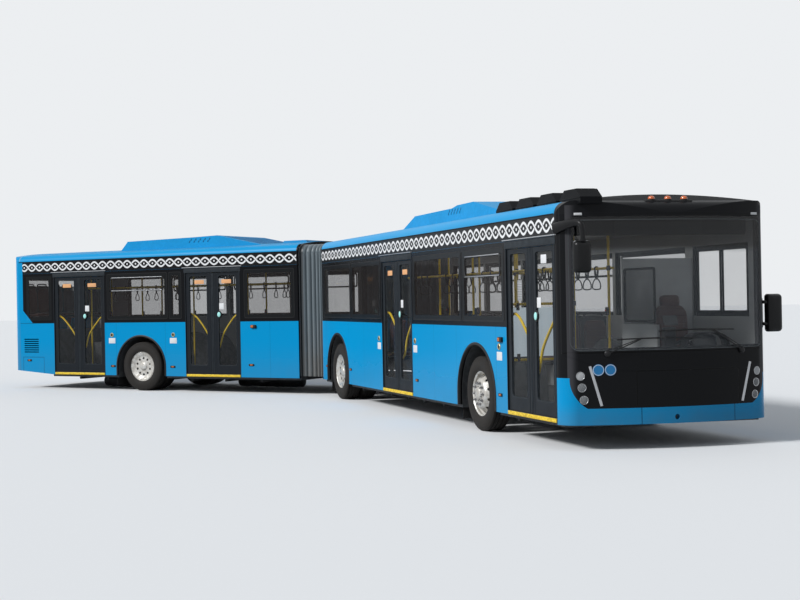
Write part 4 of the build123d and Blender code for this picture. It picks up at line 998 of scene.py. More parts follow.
def wheels():
    """Tyres, rims, hubs, nuts, covers and valves of all six wheels in place of the plain solids."""
    one, uv, crown_run = tyre()
    tyre_rubber(crown_run)
    wheel_steel()
    rims = {"": front_wheel_rim(), "s": twin_wheel_rim()}
    for axle, (section, y, offsets) in WHEELS.items():
        for side, sign in (("left", 1), ("right", -1)):
            body = f"wheel_{axle}_{side}"
            twin = "" if axle == "front" else "s"
            node = f"{twin}_{axle}_{side}"

            def put(name, shape, finish, **options):
                shape = shape.turn("Z", 180) if sign < 0 else shape
                piece(name, shape.move(AXLE_X[axle], sign * y, TYRE_R), finish, section, body, **options)

            rubber = set_out(one, [(0, offset, 0) for offset in offsets])
            uvs = np.tile(uv, (len(offsets), 1))
            put(f"tyre{node}_rubber", rubber, "tyre_rubber", sharp=40, uv=uvs, replaces=[f"tyre{node}"])
            rim, nuts = rims[twin]
            put(f"rim{node}_steel", rim, "wheel_steel", sharp=38, replaces=[f"rim{node}"])
            put(f"nuts_{axle}_{side}", nuts, "nut_steel", sharp=30)
            if twin:
                put(f"cover_{axle}_{side}", wheel_cover(), "wheel_steel", sharp=38)
            put(f"valve_{axle}_{side}", valve_stem(-0.05 if twin else 0.05), "valve_brass")


def wheel_steel():
    """Silver wheel paint with patches of road dirt and fine specks."""
    f = Finish("wheel_steel", (0.66, 0.65, 0.62), 0.35, 0.4)
    dirt = f.noise(14, 6).within(0.48, 0.85, 0.14)
    fine = f.noise(90, 3)
    f.layers((dirt * 0.5, (0.22, 0.19, 0.15)), (fine.within(0.6, 0.9, 0.1) * 0.2, (0.34, 0.33, 0.31)))
    f.set("Roughness", 0.24 + dirt * 0.45)
    f.set("Metallic", 0.80 - dirt * 0.5)
    f.bump(fine, 0.0004)


wheels()


# Frames and panes


def ring_plate(outer, inner, thick, along="Y", edge=0.003, shift=(0.0, 0.0)):
    """Flat frame: between an outer and an inner rounded rectangle, each (width, height, radius).

    Loops of both outlines step in at the faces by edge. The opening may stand off the middle by shift.
    """
    def outline(size, grow):
        return rounded(size[0] + 2 * grow, size[1] + 2 * grow, max(size[2] + grow, 1e-4), 6)

    half = thick / 2
    rows = [(outline(outer, 0), -half + edge), (outline(outer, 0), half - edge), (outline(outer, -edge), half)]
    for grow, level in ((edge, half), (0, half - edge), (0, -half + edge), (edge, -half)):
        rows.append((outline(inner, grow) + shift, level))
    rows.append((outline(outer, -edge), -half))
    return tube([stand(flat, along, level) for flat, level in rows], closed=True)


def disc(radius, thick, axis="X", dome=0.0, count=32):
    """Round plate with a softened edge, its face raised in the middle by dome (a cosine)."""
    edge = min(0.3 * thick, 0.15 * radius)
    r = radius - edge
    face = [(r * t, thick / 2 + dome * cos(t * pi / 2)) for t in (1, 0.8, 0.6, 0.4, 0.2)]
    profile = [(0, -thick / 2), (r, -thick / 2), (radius, -thick / 2 + edge), (radius, thick / 2 - edge), *face]
    return turned([*profile, (0, thick / 2 + dome)], axis, count)


# Doors

# Section of each doorway and its ends along X
DOORS = {
    "door_1": (FRONT, 1.020, 2.406),
    "door_2": (FRONT, -3.871, -2.455),
    "door_3": (REAR, -3.534, -2.257),
    "door_4": (REAR, -6.871, -5.534),
}
# The leaves' middle plane and height, and the widths of their stiles
DOOR_Y = -1.235
DOOR_Z = (0.350, 2.275)
MEETING_STILE = 0.128
OUTER_STILE = 0.085
# How far the grab rail reaches in, on the two leaves that open up against the desk and the engine deck
CLOSE_RAILS = {("door_1", True): 0.036, ("door_4", False): 0.036}
# Size, height and finish of the label high on each leaf's glass
TOP_LABELS = {
    ("door_1", True): ((0.10, 0.15), 2.130, "blank_label"),
    ("door_1", False): ((0.24, 0.13), 1.780, "blank_grid_label"),
}
USUAL_LABEL = ((0.075, 0.22), 2.105, "blank_orange_label")


def leaf_parts(low, high, at_front, reach):
    """The parts of one leaf, drawn closed, with its middle and its meeting edge."""
    out = 1 if at_front else -1
    jamb = high if at_front else low
    edge, meet = jamb - out * 0.013, (low + high) / 2 + out * 0.0025
    width, height = abs(edge - meet), DOOR_Z[1] - DOOR_Z[0]
    middle, level = (edge + meet) / 2, sum(DOOR_Z) / 2
    side, rise = out * (MEETING_STILE - OUTER_STILE) / 2, 0.055
    glass_w, glass_h = width - MEETING_STILE - OUTER_STILE, height - 0.215
    at = (middle + side, DOOR_Y, level + rise)
    frame = ring_plate((width, height, 0.012), (glass_w, glass_h, 0.045), 0.034, shift=(side, rise))
    frame = frame.move(middle, DOOR_Y, level)
    post = turned([(0, 0.325), (0.011, 0.325), (0.011, 2.300), (0, 2.300)], "Z", 16)
    pane = plate(glass_h + 0.01, glass_w + 0.01, 0.006, 0.045, 0.001, "Y")
    bead = ring_plate(
        (glass_w + 0.016, glass_h + 0.016, 0.05), (glass_w - 0.012, glass_h - 0.012, 0.04), 0.0358, edge=0.004,
    )
    seam = meet - out * 0.003
    rubber = [bead.move(*at)]
    rubber.append(swept([(seam, DOOR_Y, z) for z in DOOR_Z], rounded(0.030, 0.0045, 0.002, 3), up=(1, 0, 0)))
    across = (min(edge, meet) + 0.01, max(edge, meet) - 0.01)
    rubber.append(box(across, (DOOR_Y - 0.006, DOOR_Y + 0.006), (0.3461, 0.356), 0.002))
    for a, b in ((0.004, 0.020), (0.058, 0.064)):
        rib = sorted((meet + out * a, meet + out * b))
        rubber.append(box(rib, (DOOR_Y - 0.0205, DOOR_Y - 0.016), (0.36, 2.265), 0.0018))
    far, near, inside = edge - out * 0.070, meet + out * 0.090, DOOR_Y + reach
    curve = smooth_path([
        (far, DOOR_Y + 0.016, 1.500), (far - out * 0.015, inside, 1.495),
        (far - out * 0.15, inside + 0.012, 1.400), (near + out * 0.10, inside + 0.012, 1.130),
        (near + out * 0.018, inside, 0.900), (near, DOOR_Y + 0.016, 0.800),
    ], 7)
    feet = set_out(disc(0.026, 0.010, "Y", 0.002, 20), [(far, DOOR_Y + 0.02, 1.5), (near, DOOR_Y + 0.02, 0.8)])
    return [
        ("frame", frame + post.move(jamb - out * 0.030, DOOR_Y), "door_frame_black"),
        ("glass", pane.move(*at), "door_glass"),
        ("rubber", total(rubber), "door_rubber"),
        ("rail", pipe(curve, 0.0165, 12, up=(0, 1, 0)), "rail_paint"),
        ("rail_feet", feet, "door_frame_black"),
    ], middle, meet


def opening_button(at_x):
    """Oval button in a broad ring beside the meeting edge, and a blank label over it."""
    parts = []
    for name, radius, thick, dome, count, out, finish in (
        ("button_ring", 0.066, 0.024, 0.0, 32, 0.0145, "button_ring"),
        ("button", 0.046, 0.008, 0.006, 28, 0.029, "button_lens"),
    ):
        cap = disc(radius, thick, "Y", dome, count).turn("Z", 180)
        cap.points[:, 0] *= 0.82
        parts.append((name, cap.move(at_x + 0.150, DOOR_Y - out, 1.480), finish))
    note = plate(0.115, 0.105, 0.001, 0.004, 0.0003, "Y").move(at_x + 0.195, DOOR_Y - 0.0038, 1.635)
    return [*parts, ("label", note, "blank_label")]


def doors():
    """Four doors of two leaves each, over the plain leaves, with their sills, headers and seals."""
    sill_yellow()
    grid_label()
    for door, (section, low, high) in DOORS.items():
        for at_front in (True, False):
            node = f"{door}_{'front' if at_front else 'rear'}_leaf"
            parts, middle, meet = leaf_parts(low, high, at_front, CLOSE_RAILS.get((door, at_front), 0.062))
            size, z, label = TOP_LABELS.get((door, at_front), USUAL_LABEL)
            tag = plate(*size, 0.001, 0.006, 0.0003, "Y").move(middle, DOOR_Y - 0.0038, z)
            parts.append(("top_label", tag, label))
            if at_front:
                parts += opening_button(meet)
            for part, shape, finish in parts:
                stands_for = [node] if part == "frame" else ()
                piece(f"{node}_{part}", shape, finish, section, node, replaces=stands_for)
        door_surround(door, section, low, high)


def door_surround(door, section, low, high):
    """Fixed parts round a door: the yellow sill edge, jamb strips, the header box and its drip rail."""
    left, right = low + 0.006, high - 0.006
    lip = box((left + 0.01, right - 0.01), (-HALF_W - 0.009, -HALF_W + 0.004), (0.298, 0.343), 0.003)
    piece(f"{door}_sill", lip, "sill_yellow", section)
    strip = box((-0.005, 0.005), (-HALF_W - 0.004, -HALF_W + 0.010), (0.35, 2.30), 0.0018)
    header = box((low - 0.02, high + 0.02), (-HALF_W - 0.005, -HALF_W + 0.003), (2.285, 2.366), 0.002)
    piece(f"{door}_jamb_strips", [strip.move(left), strip.move(right), header], "door_rubber", section)
    profile = [(0.0, -0.004), (0.016, -0.007), (0.022, -0.003), (0.022, 0.006), (0.016, 0.002), (0.0, 0.008)]
    drip = swept(along_x(low - 0.05, high + 0.05, -HALF_W - 0.001, 2.385), profile)
    piece(f"{door}_drip_rail", drip, "bare_alloy", section)


def sill_yellow():
    """Yellow tread edge with black scuffs and a fine grain."""
    f = Finish("sill_yellow", (0.90, 0.62, 0.03), 0.5)
    scuff = f.noise(22, 6, (1, 1, 3)).within(0.52, 0.85, 0.12)
    f.layers((scuff * 0.45, (0.12, 0.09, 0.03)))
    f.set("Roughness", 0.42 + scuff * 0.35)
    f.bump(f.noise(70, 3), 0.0005)


def grid_label():
    """Dark label with a plain grid of pale lines."""
    f = Finish("blank_grid_label", (0.03, 0.032, 0.034), 0.5)
    x, _, z = f.xyz(FRONT)
    f.layers((x.wave(0.026).below(0.004, BLUR).max(z.wave(0.020).below(0.003, BLUR)), (0.55, 0.56, 0.57)))
    f.bump(f.noise(200, 2), 0.0001)


# Bellows

# Number of folds, and half width, height and corner radius of the hoop
FOLDS = 10
HOOP_HALF = 1.212
HOOP_Z = (0.333, 2.737)
HOOP_CORNER = 0.16
# Points of the hoop's outline up a wall, round a corner and over the top
WALL_POINTS, CORNER_POINTS, TOP_POINTS = 30, 9, 29


def portal():
    """Outline of the hoop across the bus, up one wall and down the other, and the way in at each point."""
    middle_y, middle_z = HOOP_HALF - HOOP_CORNER, HOOP_Z[1] - HOOP_CORNER
    wall = np.linspace(HOOP_Z[0], middle_z, WALL_POINTS)
    side = np.stack([np.full(WALL_POINTS, HOOP_HALF), wall], axis=1)
    bend = np.linspace(0, pi / 2, CORNER_POINTS + 1)[1:]
    arc = np.stack([middle_y + HOOP_CORNER * np.cos(bend), middle_z + HOOP_CORNER * np.sin(bend)], axis=1)
    over = np.linspace(middle_y, -middle_y, TOP_POINTS + 2)[1:-1]
    top = np.stack([over, np.full(TOP_POINTS, HOOP_Z[1])], axis=1)
    outline = np.vstack([side, arc, top, arc[::-1] * (-1, 1), side[::-1] * (-1, 1)])
    y, z = outline.T
    inward = np.stack([-np.sign(y) * (np.abs(y) > middle_y - 1e-6), -1.0 * (z > middle_z - 1e-6)], axis=1)
    return outline, unit(np.where(np.abs(inward).sum(1, keepdims=True) > 0, inward, [0, -1]))


def bellows():
    """Fan of folds carried along the quadratic curve between the two sections, in strips side by side.

    The hoop is a rounded portal outline. Its size swells and shrinks along the curve as the absolute
    value of a sine, which gives round folds with sharp valleys between them.
    """
    start, turn_at = np.array([FRONT_END, 0.0]), np.array([PIVOT_X, 0.0])
    end = turn_at + REAR_START * np.array([cos(BEND), sin(BEND)])
    steps, depth, thick = 24, 0.055, 0.012
    t = np.linspace(0, 1, FOLDS * steps + 1)[:, None]
    middle = start * (1 - t) ** 2 + turn_at * 2 * t * (1 - t) + end * t**2
    ahead = unit((start - turn_at) * (1 - t) + (turn_at - end) * t)
    left = np.stack([-ahead[:, 1], ahead[:, 0]], axis=1)
    swell = np.abs(np.sin(np.arange(len(t)) * pi / steps)) ** 0.6
    outline, inward = portal()
    skins = []
    for back in (0.0, thick):
        ring = outline[None] + inward[None] * ((1 - swell)[:, None, None] * depth + back)
        skins.append(np.concatenate([middle[:, None] + left[:, None] * ring[:, :, :1], ring[:, :, 1:]], axis=2))
    outer, inner = skins
    bellows_cloth()
    top_start = WALL_POINTS + CORNER_POINTS - 1
    last_point = len(outline) - 1
    top_cuts = range(top_start, top_start + TOP_POINTS + 2, 3)
    cuts = [0, WALL_POINTS - 1, *top_cuts, last_point - WALL_POINTS + 1, last_point]
    to_rear = -np.array([cos(BEND / 2), sin(BEND / 2)])
    rear_left = np.array([-sin(BEND), cos(BEND)])
    for n, (low_cut, high_cut) in enumerate(zip(cuts[:-1], cuts[1:])):
        part = slice(low_cut, high_cut + 1)
        strip = tube(np.concatenate([outer[:, part], inner[:, part][:, ::-1]], axis=1), band=True)
        replaces = [] if n else ["bellows"]
        made = piece(f"bellows_strip_{n + 1:02d}", strip, "bellows_cloth", FRONT, sharp=70, replaces=replaces)
        made.parent = None
        y = outline[part, 0].mean()
        first = start + (0, y)
        last = first + to_rear * ((end + rear_left * y - first) @ to_rear)
        ends = FRONT.place([[*first, 1.5], [*last, 1.5]])
        tuple(ends[0])
        tuple(ends[1])
        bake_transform(made)
    for section, x in ((FRONT, FRONT_END - 0.012), (REAR, REAR_START + 0.012)):
        rim = swept(stand(outline + inward * 0.002, "X", x), rounded(0.046, 0.022, 0.006, 3), up=(1, 0, 0))
        piece(f"bellows_{section.name}_frame", rim, "bellows_frame", section)


def bellows_cloth():
    """Coated grey sheet: fine weave, upright darker streaks, brown dust low down, painted shade by the rear
    frame.
    """
    f = Finish("bellows_cloth", (0.150, 0.185, 0.205), 0.32)
    x, _, z = f.xyz(REAR)
    streak = f.noise(7, 5, (1, 1, 0.15))
    f.layers(
        (streak.within(0.45, 0.8, 0.15) * 0.35, (0.07, 0.085, 0.095)),
        (f.noise(3, 5) * z.below(0.95, 0.5) * 0.8, (0.12, 0.09, 0.065)),
        # Painted shade: a near-black band on the folds next to the rear frame
        (x.below(REAR_START + 0.085, 0.01) * 0.85, (0.012, 0.014, 0.016)),
    )
    f.set("Roughness", 0.30 + streak * 0.2)
    f.bump(f.noise(260, 2) * 0.5 + streak * 0.5, 0.0012)


# Front fittings

# How far the bowed face falls back at the walls, and the radius of its corners
NOSE_BOW = 0.205
NOSE_CORNER = 0.210


def nose_x(y):
    """Place of the bowed front face along X at a distance y from the middle, corners included.

    The bow is a circle that falls back by NOSE_BOW at the walls. Circles of radius NOSE_CORNER round it
    off into the walls.
    """
    bow_r = (HALF_W**2 + NOSE_BOW**2) / (2 * NOSE_BOW)
    bow_x = NOSE_X - bow_r
    corner_y = HALF_W - NOSE_CORNER
    corner_x = bow_x + ((bow_r - NOSE_CORNER) ** 2 - corner_y**2) ** 0.5
    lean = np.arctan2(corner_y, corner_x - bow_x)
    y = np.abs(np.asarray(y, float))
    bow = bow_x + np.sqrt(np.maximum(bow_r**2 - y**2, 0))
    corner = corner_x + np.sqrt(np.maximum(NOSE_CORNER**2 - (y - corner_y) ** 2, 0))
    return np.where(y < bow_r * np.sin(lean), bow, corner)


def nose_path(y, z, out=0.0):
    """Points on the front face, moved ahead by out."""
    return np.stack([nose_x(y) + out, y, np.broadcast_to(z, y.shape)], axis=1)


def on_nose(shape, y, z, out=0.0):
    """A shape drawn at the origin facing forward, set on the front face and turned with it."""
    step = 1e-4
    turn = np.degrees(np.arctan2(float(nose_x(y - step) - nose_x(y + step)), 2 * step))
    return shape.turn("Z", turn).move(float(nose_x(y)) + out, y, z)


# Distance from the middle and height of each lamp of a corner, and the places of the two round signs
LAMPS = ((1.085, 0.822), (1.070, 0.693), (1.050, 0.558))
SIGN_Y = (-0.893, -0.762)
SIGN_Z = 0.885
# Lamp ring: (radius, along) round its section
BEZEL = (
    (0.0405, -0.012), (0.0405, 0.001), (0.043, 0.004), (0.047, 0.003), (0.0485, -0.002), (0.046, -0.012),
)
# Reflector: from the pole of its back out to the rim and in again to the pole of its hollow
BOWL = (
    (0, -0.028), (0.028, -0.023), (0.038, -0.014), (0.0415, -0.001), (0.0400, 0.000), (0.036, -0.012),
    (0.026, -0.020), (0.012, -0.024), (0, -0.025),
)


def clouded(name, color, roughness, metallic, scale, detail, blur, over, depth, **sockets):
    """Lamp part: patches of noise laid over its colour, and a faint relief."""
    f = Finish(name, color, roughness, metallic, **sockets)
    cloud = f.noise(scale, detail)
    f.layers((cloud.within(0.5, 0.9, blur) * 0.4, over))
    f.bump(cloud, depth)


def lamps():
    """Three round lamps and a slanted light strip at each corner: the top one frosted, two with bowls."""
    clouded("lamp_reflector", (0.75, 0.76, 0.78), 0.08, 1.0, 40, 1, 0.1, (0.45, 0.46, 0.48), 0.002)
    bezel, bowl = turned(BEZEL, "X", 40), turned(BOWL, "X", 32)
    lens = disc(0.0405, 0.004, "X", 0.005)
    face = disc(0.0405, 0.006, "X", 0.003)
    small, large = disc(0.009, 0.008, "X", 0.008, 20), disc(0.016, 0.008, "X", 0.008, 20)
    for name, finish, out, shapes in (
        ("lamp_rings", "lamp_ring", 0.0, (bezel, bezel, bezel)),
        ("lamp_bowls", "lamp_reflector", -0.001, (None, bowl, bowl)),
        ("lamp_bulbs", "lamp_frosted", -0.018, (None, small, large)),
        ("lamp_lenses", "lamp_lens", 0.0, (None, lens, lens)),
        ("lamp_frosted_faces", "lamp_frosted", -0.002, (face, None, None)),
    ):
        pairs = [(shape, at) for shape, at in zip(shapes, LAMPS) if shape]
        piece(name, [on_nose(shape, sign * y, z, out) for sign in (1, -1) for shape, (y, z) in pairs], finish)
    y, z = np.linspace(0.8625, 0.9825, 14), np.linspace(0.492, 0.928, 14)
    blades = [nose_path(sign * y, z, -0.001) for sign in (1, -1)]
    bar = rounded(0.031, 0.010, 0.003, 4)
    piece("light_strips", [swept(path, bar, up=(1, 0, 0)) for path in blades], "light_strip")


def signs():
    """Round blue plates with a white rim and no picture, and the thin edge line of the windscreen."""
    f = Finish("sign_blue", (0.004, 0.17, 0.42), 0.35)
    _, y, z = f.xyz(FRONT)
    rims = [
        ((y - at) * (y - at) + (z - SIGN_Z) * (z - SIGN_Z)).root().within(0.0530, 0.0590) for at in SIGN_Y
    ]
    f.layers((rims[0].max(rims[1]), (0.62, 0.68, 0.74)))
    f.bump(f.noise(220, 2), 0.0001)
    piece("round_signs", [on_nose(disc(0.064, 0.003, "X"), at, SIGN_Z, 0.001) for at in SIGN_Y], "sign_blue")
    loop = rounded(2.36, 1.435, 0.10, 8)
    edge = np.concatenate([np.linspace(a, b, 12, endpoint=False) for a, b in zip(loop, np.roll(loop, -1, 0))])
    path = nose_path(edge[:, 0], edge[:, 1] + 1.815, 0.0005)
    line = swept(path, rounded(0.007, 0.003, 0.001, 2), closed=True, up=(1, 0, 0))
    piece("screen_edge", line, "screen_edge_line")


def mirrors():
    """Mirror heads with deep round shells, two glasses each, and the arms and feet that hold them."""
    f = Finish("mirror_glass", (0.80, 0.82, 0.84), 0.02, 1.0)
    f.set("Roughness", f.noise(3, 4) * 0.06 + 0.01)
    arm = smooth_path([
        (2.845, -1.135, 2.29), (2.843, -1.137, 2.40), (2.815, -1.150, 2.487), (2.70, -1.195, 2.497),
        (2.56, -1.245, 2.475), (2.446, -1.281, 2.452),
    ], 8)
    collar = turned([(0, -0.012), (0.036, -0.012), (0.036, 0.012), (0, 0.012)], "Z", 28)
    right_hold = [
        mirror_arm(arm), box((2.415, 2.482), (-1.300, -1.225), (2.405, 2.495), 0.012, 0.02),
        collar.move(2.845, -1.135, 2.305),
    ]
    left_hold = [box((2.432, 2.478), (1.235, 1.276), (1.30, 1.64), 0.01, 0.015)]
    for z in (1.345, 1.595):
        bend = smooth_path([(2.455, 1.262, z), (2.485, 1.285, z), (2.505, 1.32, z)], 6)
        left_hold.append(pipe(bend, 0.020, 14))
    for name, (x, y, z), height, glasses, hold, replaces in (
        (
            "mirror_right", (2.845, -1.135, 2.125), 0.345, ((0.20, 2.20), (0.105, 2.025)),
            right_hold, ["mirrors"],
        ),
        ("mirror_left", (2.511, 1.395, 1.470), 0.435, ((0.27, 1.545), (0.115, 1.325)), left_hold, ()),
    ):
        head = mirror_head(0.205, height).move(x, y, z)
        piece(name, [head, *hold], "mirror_shell", sharp=40, replaces=replaces)
        for part, (tall, level) in zip(("glass", "low_glass"), glasses):
            glass = plate(0.185, tall, 0.004, 0.022, 0.001, "X").move(x - 0.044, y, level)
            piece(f"{name}_{part}", glass, "mirror_glass")


def mirror_arm(path):
    """Moulded arm: an ellipse carried along the path that widens to its foot.

    The half height grows from 28 to 62 mm and the half depth from 28 to 34 mm, by a smooth step.
    """
    ahead = unit(np.gradient(path, axis=0))
    side = unit(np.cross(ahead, (0, 1, 0)))
    over = np.cross(side, ahead)
    t = np.clip(np.linspace(-0.35, 1, len(path)), 0, 1)
    t = (3 * t**2 - 2 * t**3)[:, None, None]
    ring = circle(1.0, 20)
    along_side = ring[None, :, :1] * (0.028 + 0.034 * t)
    along_over = ring[None, :, 1:] * (0.028 + 0.006 * t)
    return tube(path[:, None] + along_side * side[:, None] + along_over * over[:, None])


def mirror_head(width, height):
    """Mirror shell about the origin, its glass side flat and facing back.

    Rounded rectangles shrink towards the front as a quarter ellipse, which gives a deep rounded back.
    """
    depth = 0.086
    loops = [stand(rounded(width - 0.008, height - 0.008, 0.035, 7), "X", -depth / 2)]
    for s in np.linspace(0, 1, 12):
        inset = 0.060 * (1 - np.sqrt(np.maximum(1 - s**2.2, 0)))
        flat = rounded(width - 2 * inset, height - 2 * inset, max(0.038 - inset * 0.3, 0.01), 7)
        loops.append(stand(flat, "X", -depth / 2 + 0.004 + s * (depth - 0.004)))
    return tube(loops)


def wipers():
    """Two arms of two rods each on capped roots, with a bow over each blade. The bows are half cosines."""
    root = turned([
        (0, -0.030), (0.030, -0.030), (0.033, -0.02), (0.033, 0.006), (0.024, 0.016), (0.010, 0.020),
        (0, 0.020),
    ], "X", 24)
    rubber = [
        (-0.003, -0.0065), (0.003, -0.0065), (0.008, 0.002), (0.005, 0.009), (-0.005, 0.009), (-0.008, 0.002),
    ]
    shapes = []
    for pivot, hold, ends in (
        ((-0.800, 1.065), (-0.430, 1.215), (-0.690, 0.240)), ((0.860, 1.065), (0.450, 1.300), (-0.210, 0.750)),
    ):
        ys, zs = (np.linspace(a, b, 12) for a, b in zip(pivot, hold))
        for shift in (0.0, 0.034):
            out = 0.024 + 0.010 * np.sin(np.linspace(0, pi, 12))
            rod = nose_path(ys, zs + shift * (1 - np.linspace(0, 0.7, 12)), out)
            shapes.append(swept(rod, rounded(0.013 - shift * 0.1, 0.010, 0.003, 3), up=(1, 0, 0)))
        shapes.append(on_nose(root, *pivot, 0.018))
        y = np.linspace(*ends, 26)
        blade = nose_path(y, hold[1] + 0.010 * np.cos(np.linspace(-pi / 2, pi / 2, 26)), 0.0075)
        shapes.append(swept(blade, rubber, up=(1, 0, 0)))
        y = hold[0] + np.linspace(-0.20, 0.20, 14)
        bow = nose_path(y, hold[1] + 0.004, 0.014 + 0.014 * np.cos(np.linspace(-pi / 2, pi / 2, 14)))
        shapes.append(swept(bow, rounded(0.012, 0.006, 0.002, 3)))
    piece("wiper_arms", shapes, "wiper_black", replaces=["wipers"])


# Roof fittings

# Outlines of the two roof units in side view, (x, z) from the rear to the front, and where the side
# slots and the louvres of the front slope lie along X
UNITS = (
    ("front_ac", FRONT, -1.98, None,
     ((-4.000, 2.790), (-3.430, 2.965), (-1.840, 2.975), (-1.640, 3.005), (-1.040, 3.010), (0.090, 2.800))),
    ("rear_ac", REAR, -3.70, (-2.95, -2.13),
     ((-5.410, 2.790), (-5.240, 2.965), (-3.600, 2.990), (-3.050, 3.005), (-2.030, 2.790))),
)


def beacons():
    """Three amber domes on a bar over the brow."""
    amber, worn = (0.52, 0.085, 0.004), (0.80, 0.20, 0.02)
    clouded("beacon_amber", amber, 0.2, 0.0, 30, 2, 0.2, worn, 0.0004, coat_weight=0.3)
    x = MASK_X + 0.234
    arc = [(0.037 * cos(a), 2.774 + 0.026 * sin(a)) for a in np.linspace(0, pi / 2, 7)[:-1]]
    dome = turned([(0.0385, 2.760), (0.0385, 2.770), *arc, (0, 2.800)], "Z", 28)
    places = [(x, y, 0) for y in (-0.200, 0.0, 0.200)]
    feet = set_out(disc(0.043, 0.014, "Z", 0.0, 28).move(z=2.757), places)
    bar = box((x - 0.03, x + 0.035), (-0.286, 0.286), (2.690, 2.752), 0.006, 0.008)
    piece("beacon_bar", feet + bar, "beacon_bar", replaces=["beacons"])
    piece("beacon_domes", set_out(dome, places), "beacon_amber")


def roof_units():
    """Slots, front louvres, fan guards and edge strips on both air-conditioning units."""
    slat = plate(0.044, 0.017, 0.006, 0.006, 0.001, "Y").turn("Y", 32)
    guard = fan_guard()
    for name, section, slots_x, louvres_x, outline in UNITS:
        xs, zs = zip(*outline)

        def top(x):
            return float(np.interp(x, xs, zs))

        slats = [
            slat.move(slots_x + 0.11 * n + z - 2.905, sign * 0.851, z)
            for sign in (1, -1) for n in range(5) for z in (2.905, 2.945)
        ]
        if louvres_x:
            blade = swept([(x, 0, top(x) + 0.001) for x in louvres_x], rounded(0.028, 0.010, 0.003, 3))
            slats += [blade.move(y=y) for y in np.linspace(-0.72, 0.72, 13)]
        guards = []
        for x in np.linspace(xs[1] + 0.35, xs[-3] - 0.3, 4):
            fall = np.degrees(np.arctan2(top(x - 0.1) - top(x + 0.1), 0.2))
            guards += [guard.turn("Y", fall).move(x, y, top(x) - 0.001) for y in (-0.42, 0.42)]
        seams = [
            box((x - 0.010, x + 0.010), (-0.853, 0.853), (top(x) - 0.012, top(x)), 0.002)
            for x in (xs[1], xs[-3], xs[-2])
        ]
        piece(f"{name}_louvres", slats, "unit_louvre_blue", section)
        piece(f"{name}_fan_guards", guards, "unit_louvre_blue", section)
        piece(f"{name}_edge_strips", seams, "roof_unit_paint", section)


def fan_guard():
    """Round wire guard lying flat: an outer ring, three inner rings and four cross wires."""
    def ring(inner, outer, low, high):
        return turned([(inner, low), (inner, high), (outer, high), (outer, low)], "Z", 40)

    rings = [ring(0.165, 0.190, 0.0, 0.010)] + [ring(r, r + 0.006, 0.002, 0.007) for r in (0.04, 0.08, 0.12)]
    wire = box((-0.165, 0.165), (-0.004, 0.004), (0.001, 0.006), 0.001)
    return total(rings + [wire.turn("Z", angle) for angle in (0, 45, 90, 135)])


def roof_fittings():
    """Raised lip of the front cap, roof gutters, end-outline lamps and the caps of the pods."""
    y = np.linspace(-1.02, 1.02, 60)
    lip = nose_path(y, 2.712, -0.155 - 0.05 * (y / 1.02) ** 6)
    piece("brow_lip", swept(lip, rounded(0.02, 0.03, 0.006, 4)), "trim_black")
    for section, *ends in ((FRONT, FRONT_END + 0.01, MASK_X - 0.01), (REAR, TAIL_X + 0.16, REAR_START - 0.01)):
        rail = rounded(0.010, 0.014, 0.003, 3)
        rails = [swept(along_x(*ends, sign * 1.2665, BAND_Z + 0.004), rail) for sign in (1, -1)]
        piece(f"{section.name}_gutters", rails, "trim_black", section)
    ribs = []
    for x in (2.450 - 0.617 * n for n in range(4)):
        for rib_x in (x - 0.12 + 0.06 * k for k in range(5)):
            ribs.append(box((rib_x - 0.008, rib_x + 0.008), (-1.070, -0.850), (2.874, 2.8862), 0.003))
        ribs.append(box((x - 0.255, x + 0.255), (-1.094, -0.826), (2.772, 2.786), 0.003))
    piece("pod_ribs", ribs, "trim_black")
    lens = box((-0.012, 0.010), (-0.045, 0.045), (-0.014, 0.014), 0.005, 0.008)
    piece("outline_lamps", [on_nose(lens, y, 2.60) for y in (-1.08, 1.08)], "outline_lamp_lens")


# Side trims

# Section and radius of the wheel openings over each axle
ARCHES = {"front": (FRONT, 0.640), "mid": (FRONT, 0.650), "rear": (REAR, 0.600)}


def arch_trims():
    """Broad rubber trims round the wheel openings, each swept up one side, over and down again."""
    profile = [
        (-0.036, -0.014), (-0.036, 0.002), (-0.030, 0.020), (-0.018, 0.027), (0.000, 0.027), (0.006, 0.020),
        (0.008, -0.014),
    ]
    angle = np.linspace(0, pi, 49)
    for name, (section, radius) in ARCHES.items():
        x, r = AXLE_X[name], radius - 0.012
        arc = np.stack([x + r * np.cos(angle), TYRE_R + r * np.sin(angle)], axis=1)
        path = np.vstack([[x + r, 0.300], arc, [x - r, 0.300]])
        shapes = []
        for sign in (1, -1):
            line = stand(path, "Y", sign * (HALF_W - 0.016))
            shapes.append(swept(line, [(sign * s, u) for s, u in profile], up=(0, sign, 0)))
        piece(f"{name}_arch_trims", shapes, "arch_rubber", section, sharp=40)


# For each section: places (x, z) of its side markers and of its indicator, and x of its locks
SIDE_PARTS = (
    (
        FRONT, ((-7.08, 0.545), (-5.62, 0.545), (-2.27, 0.535), (0.80, 0.512)),
        (0.845, 1.190), (-4.03, -2.33, 0.785),
    ),
    (
        REAR, ((-2.02, 0.530), (-3.85, 0.480), (-5.33, 0.480), (-7.56, 0.580)),
        (-1.96, 1.250), (-5.35, -3.83),
    ),
)


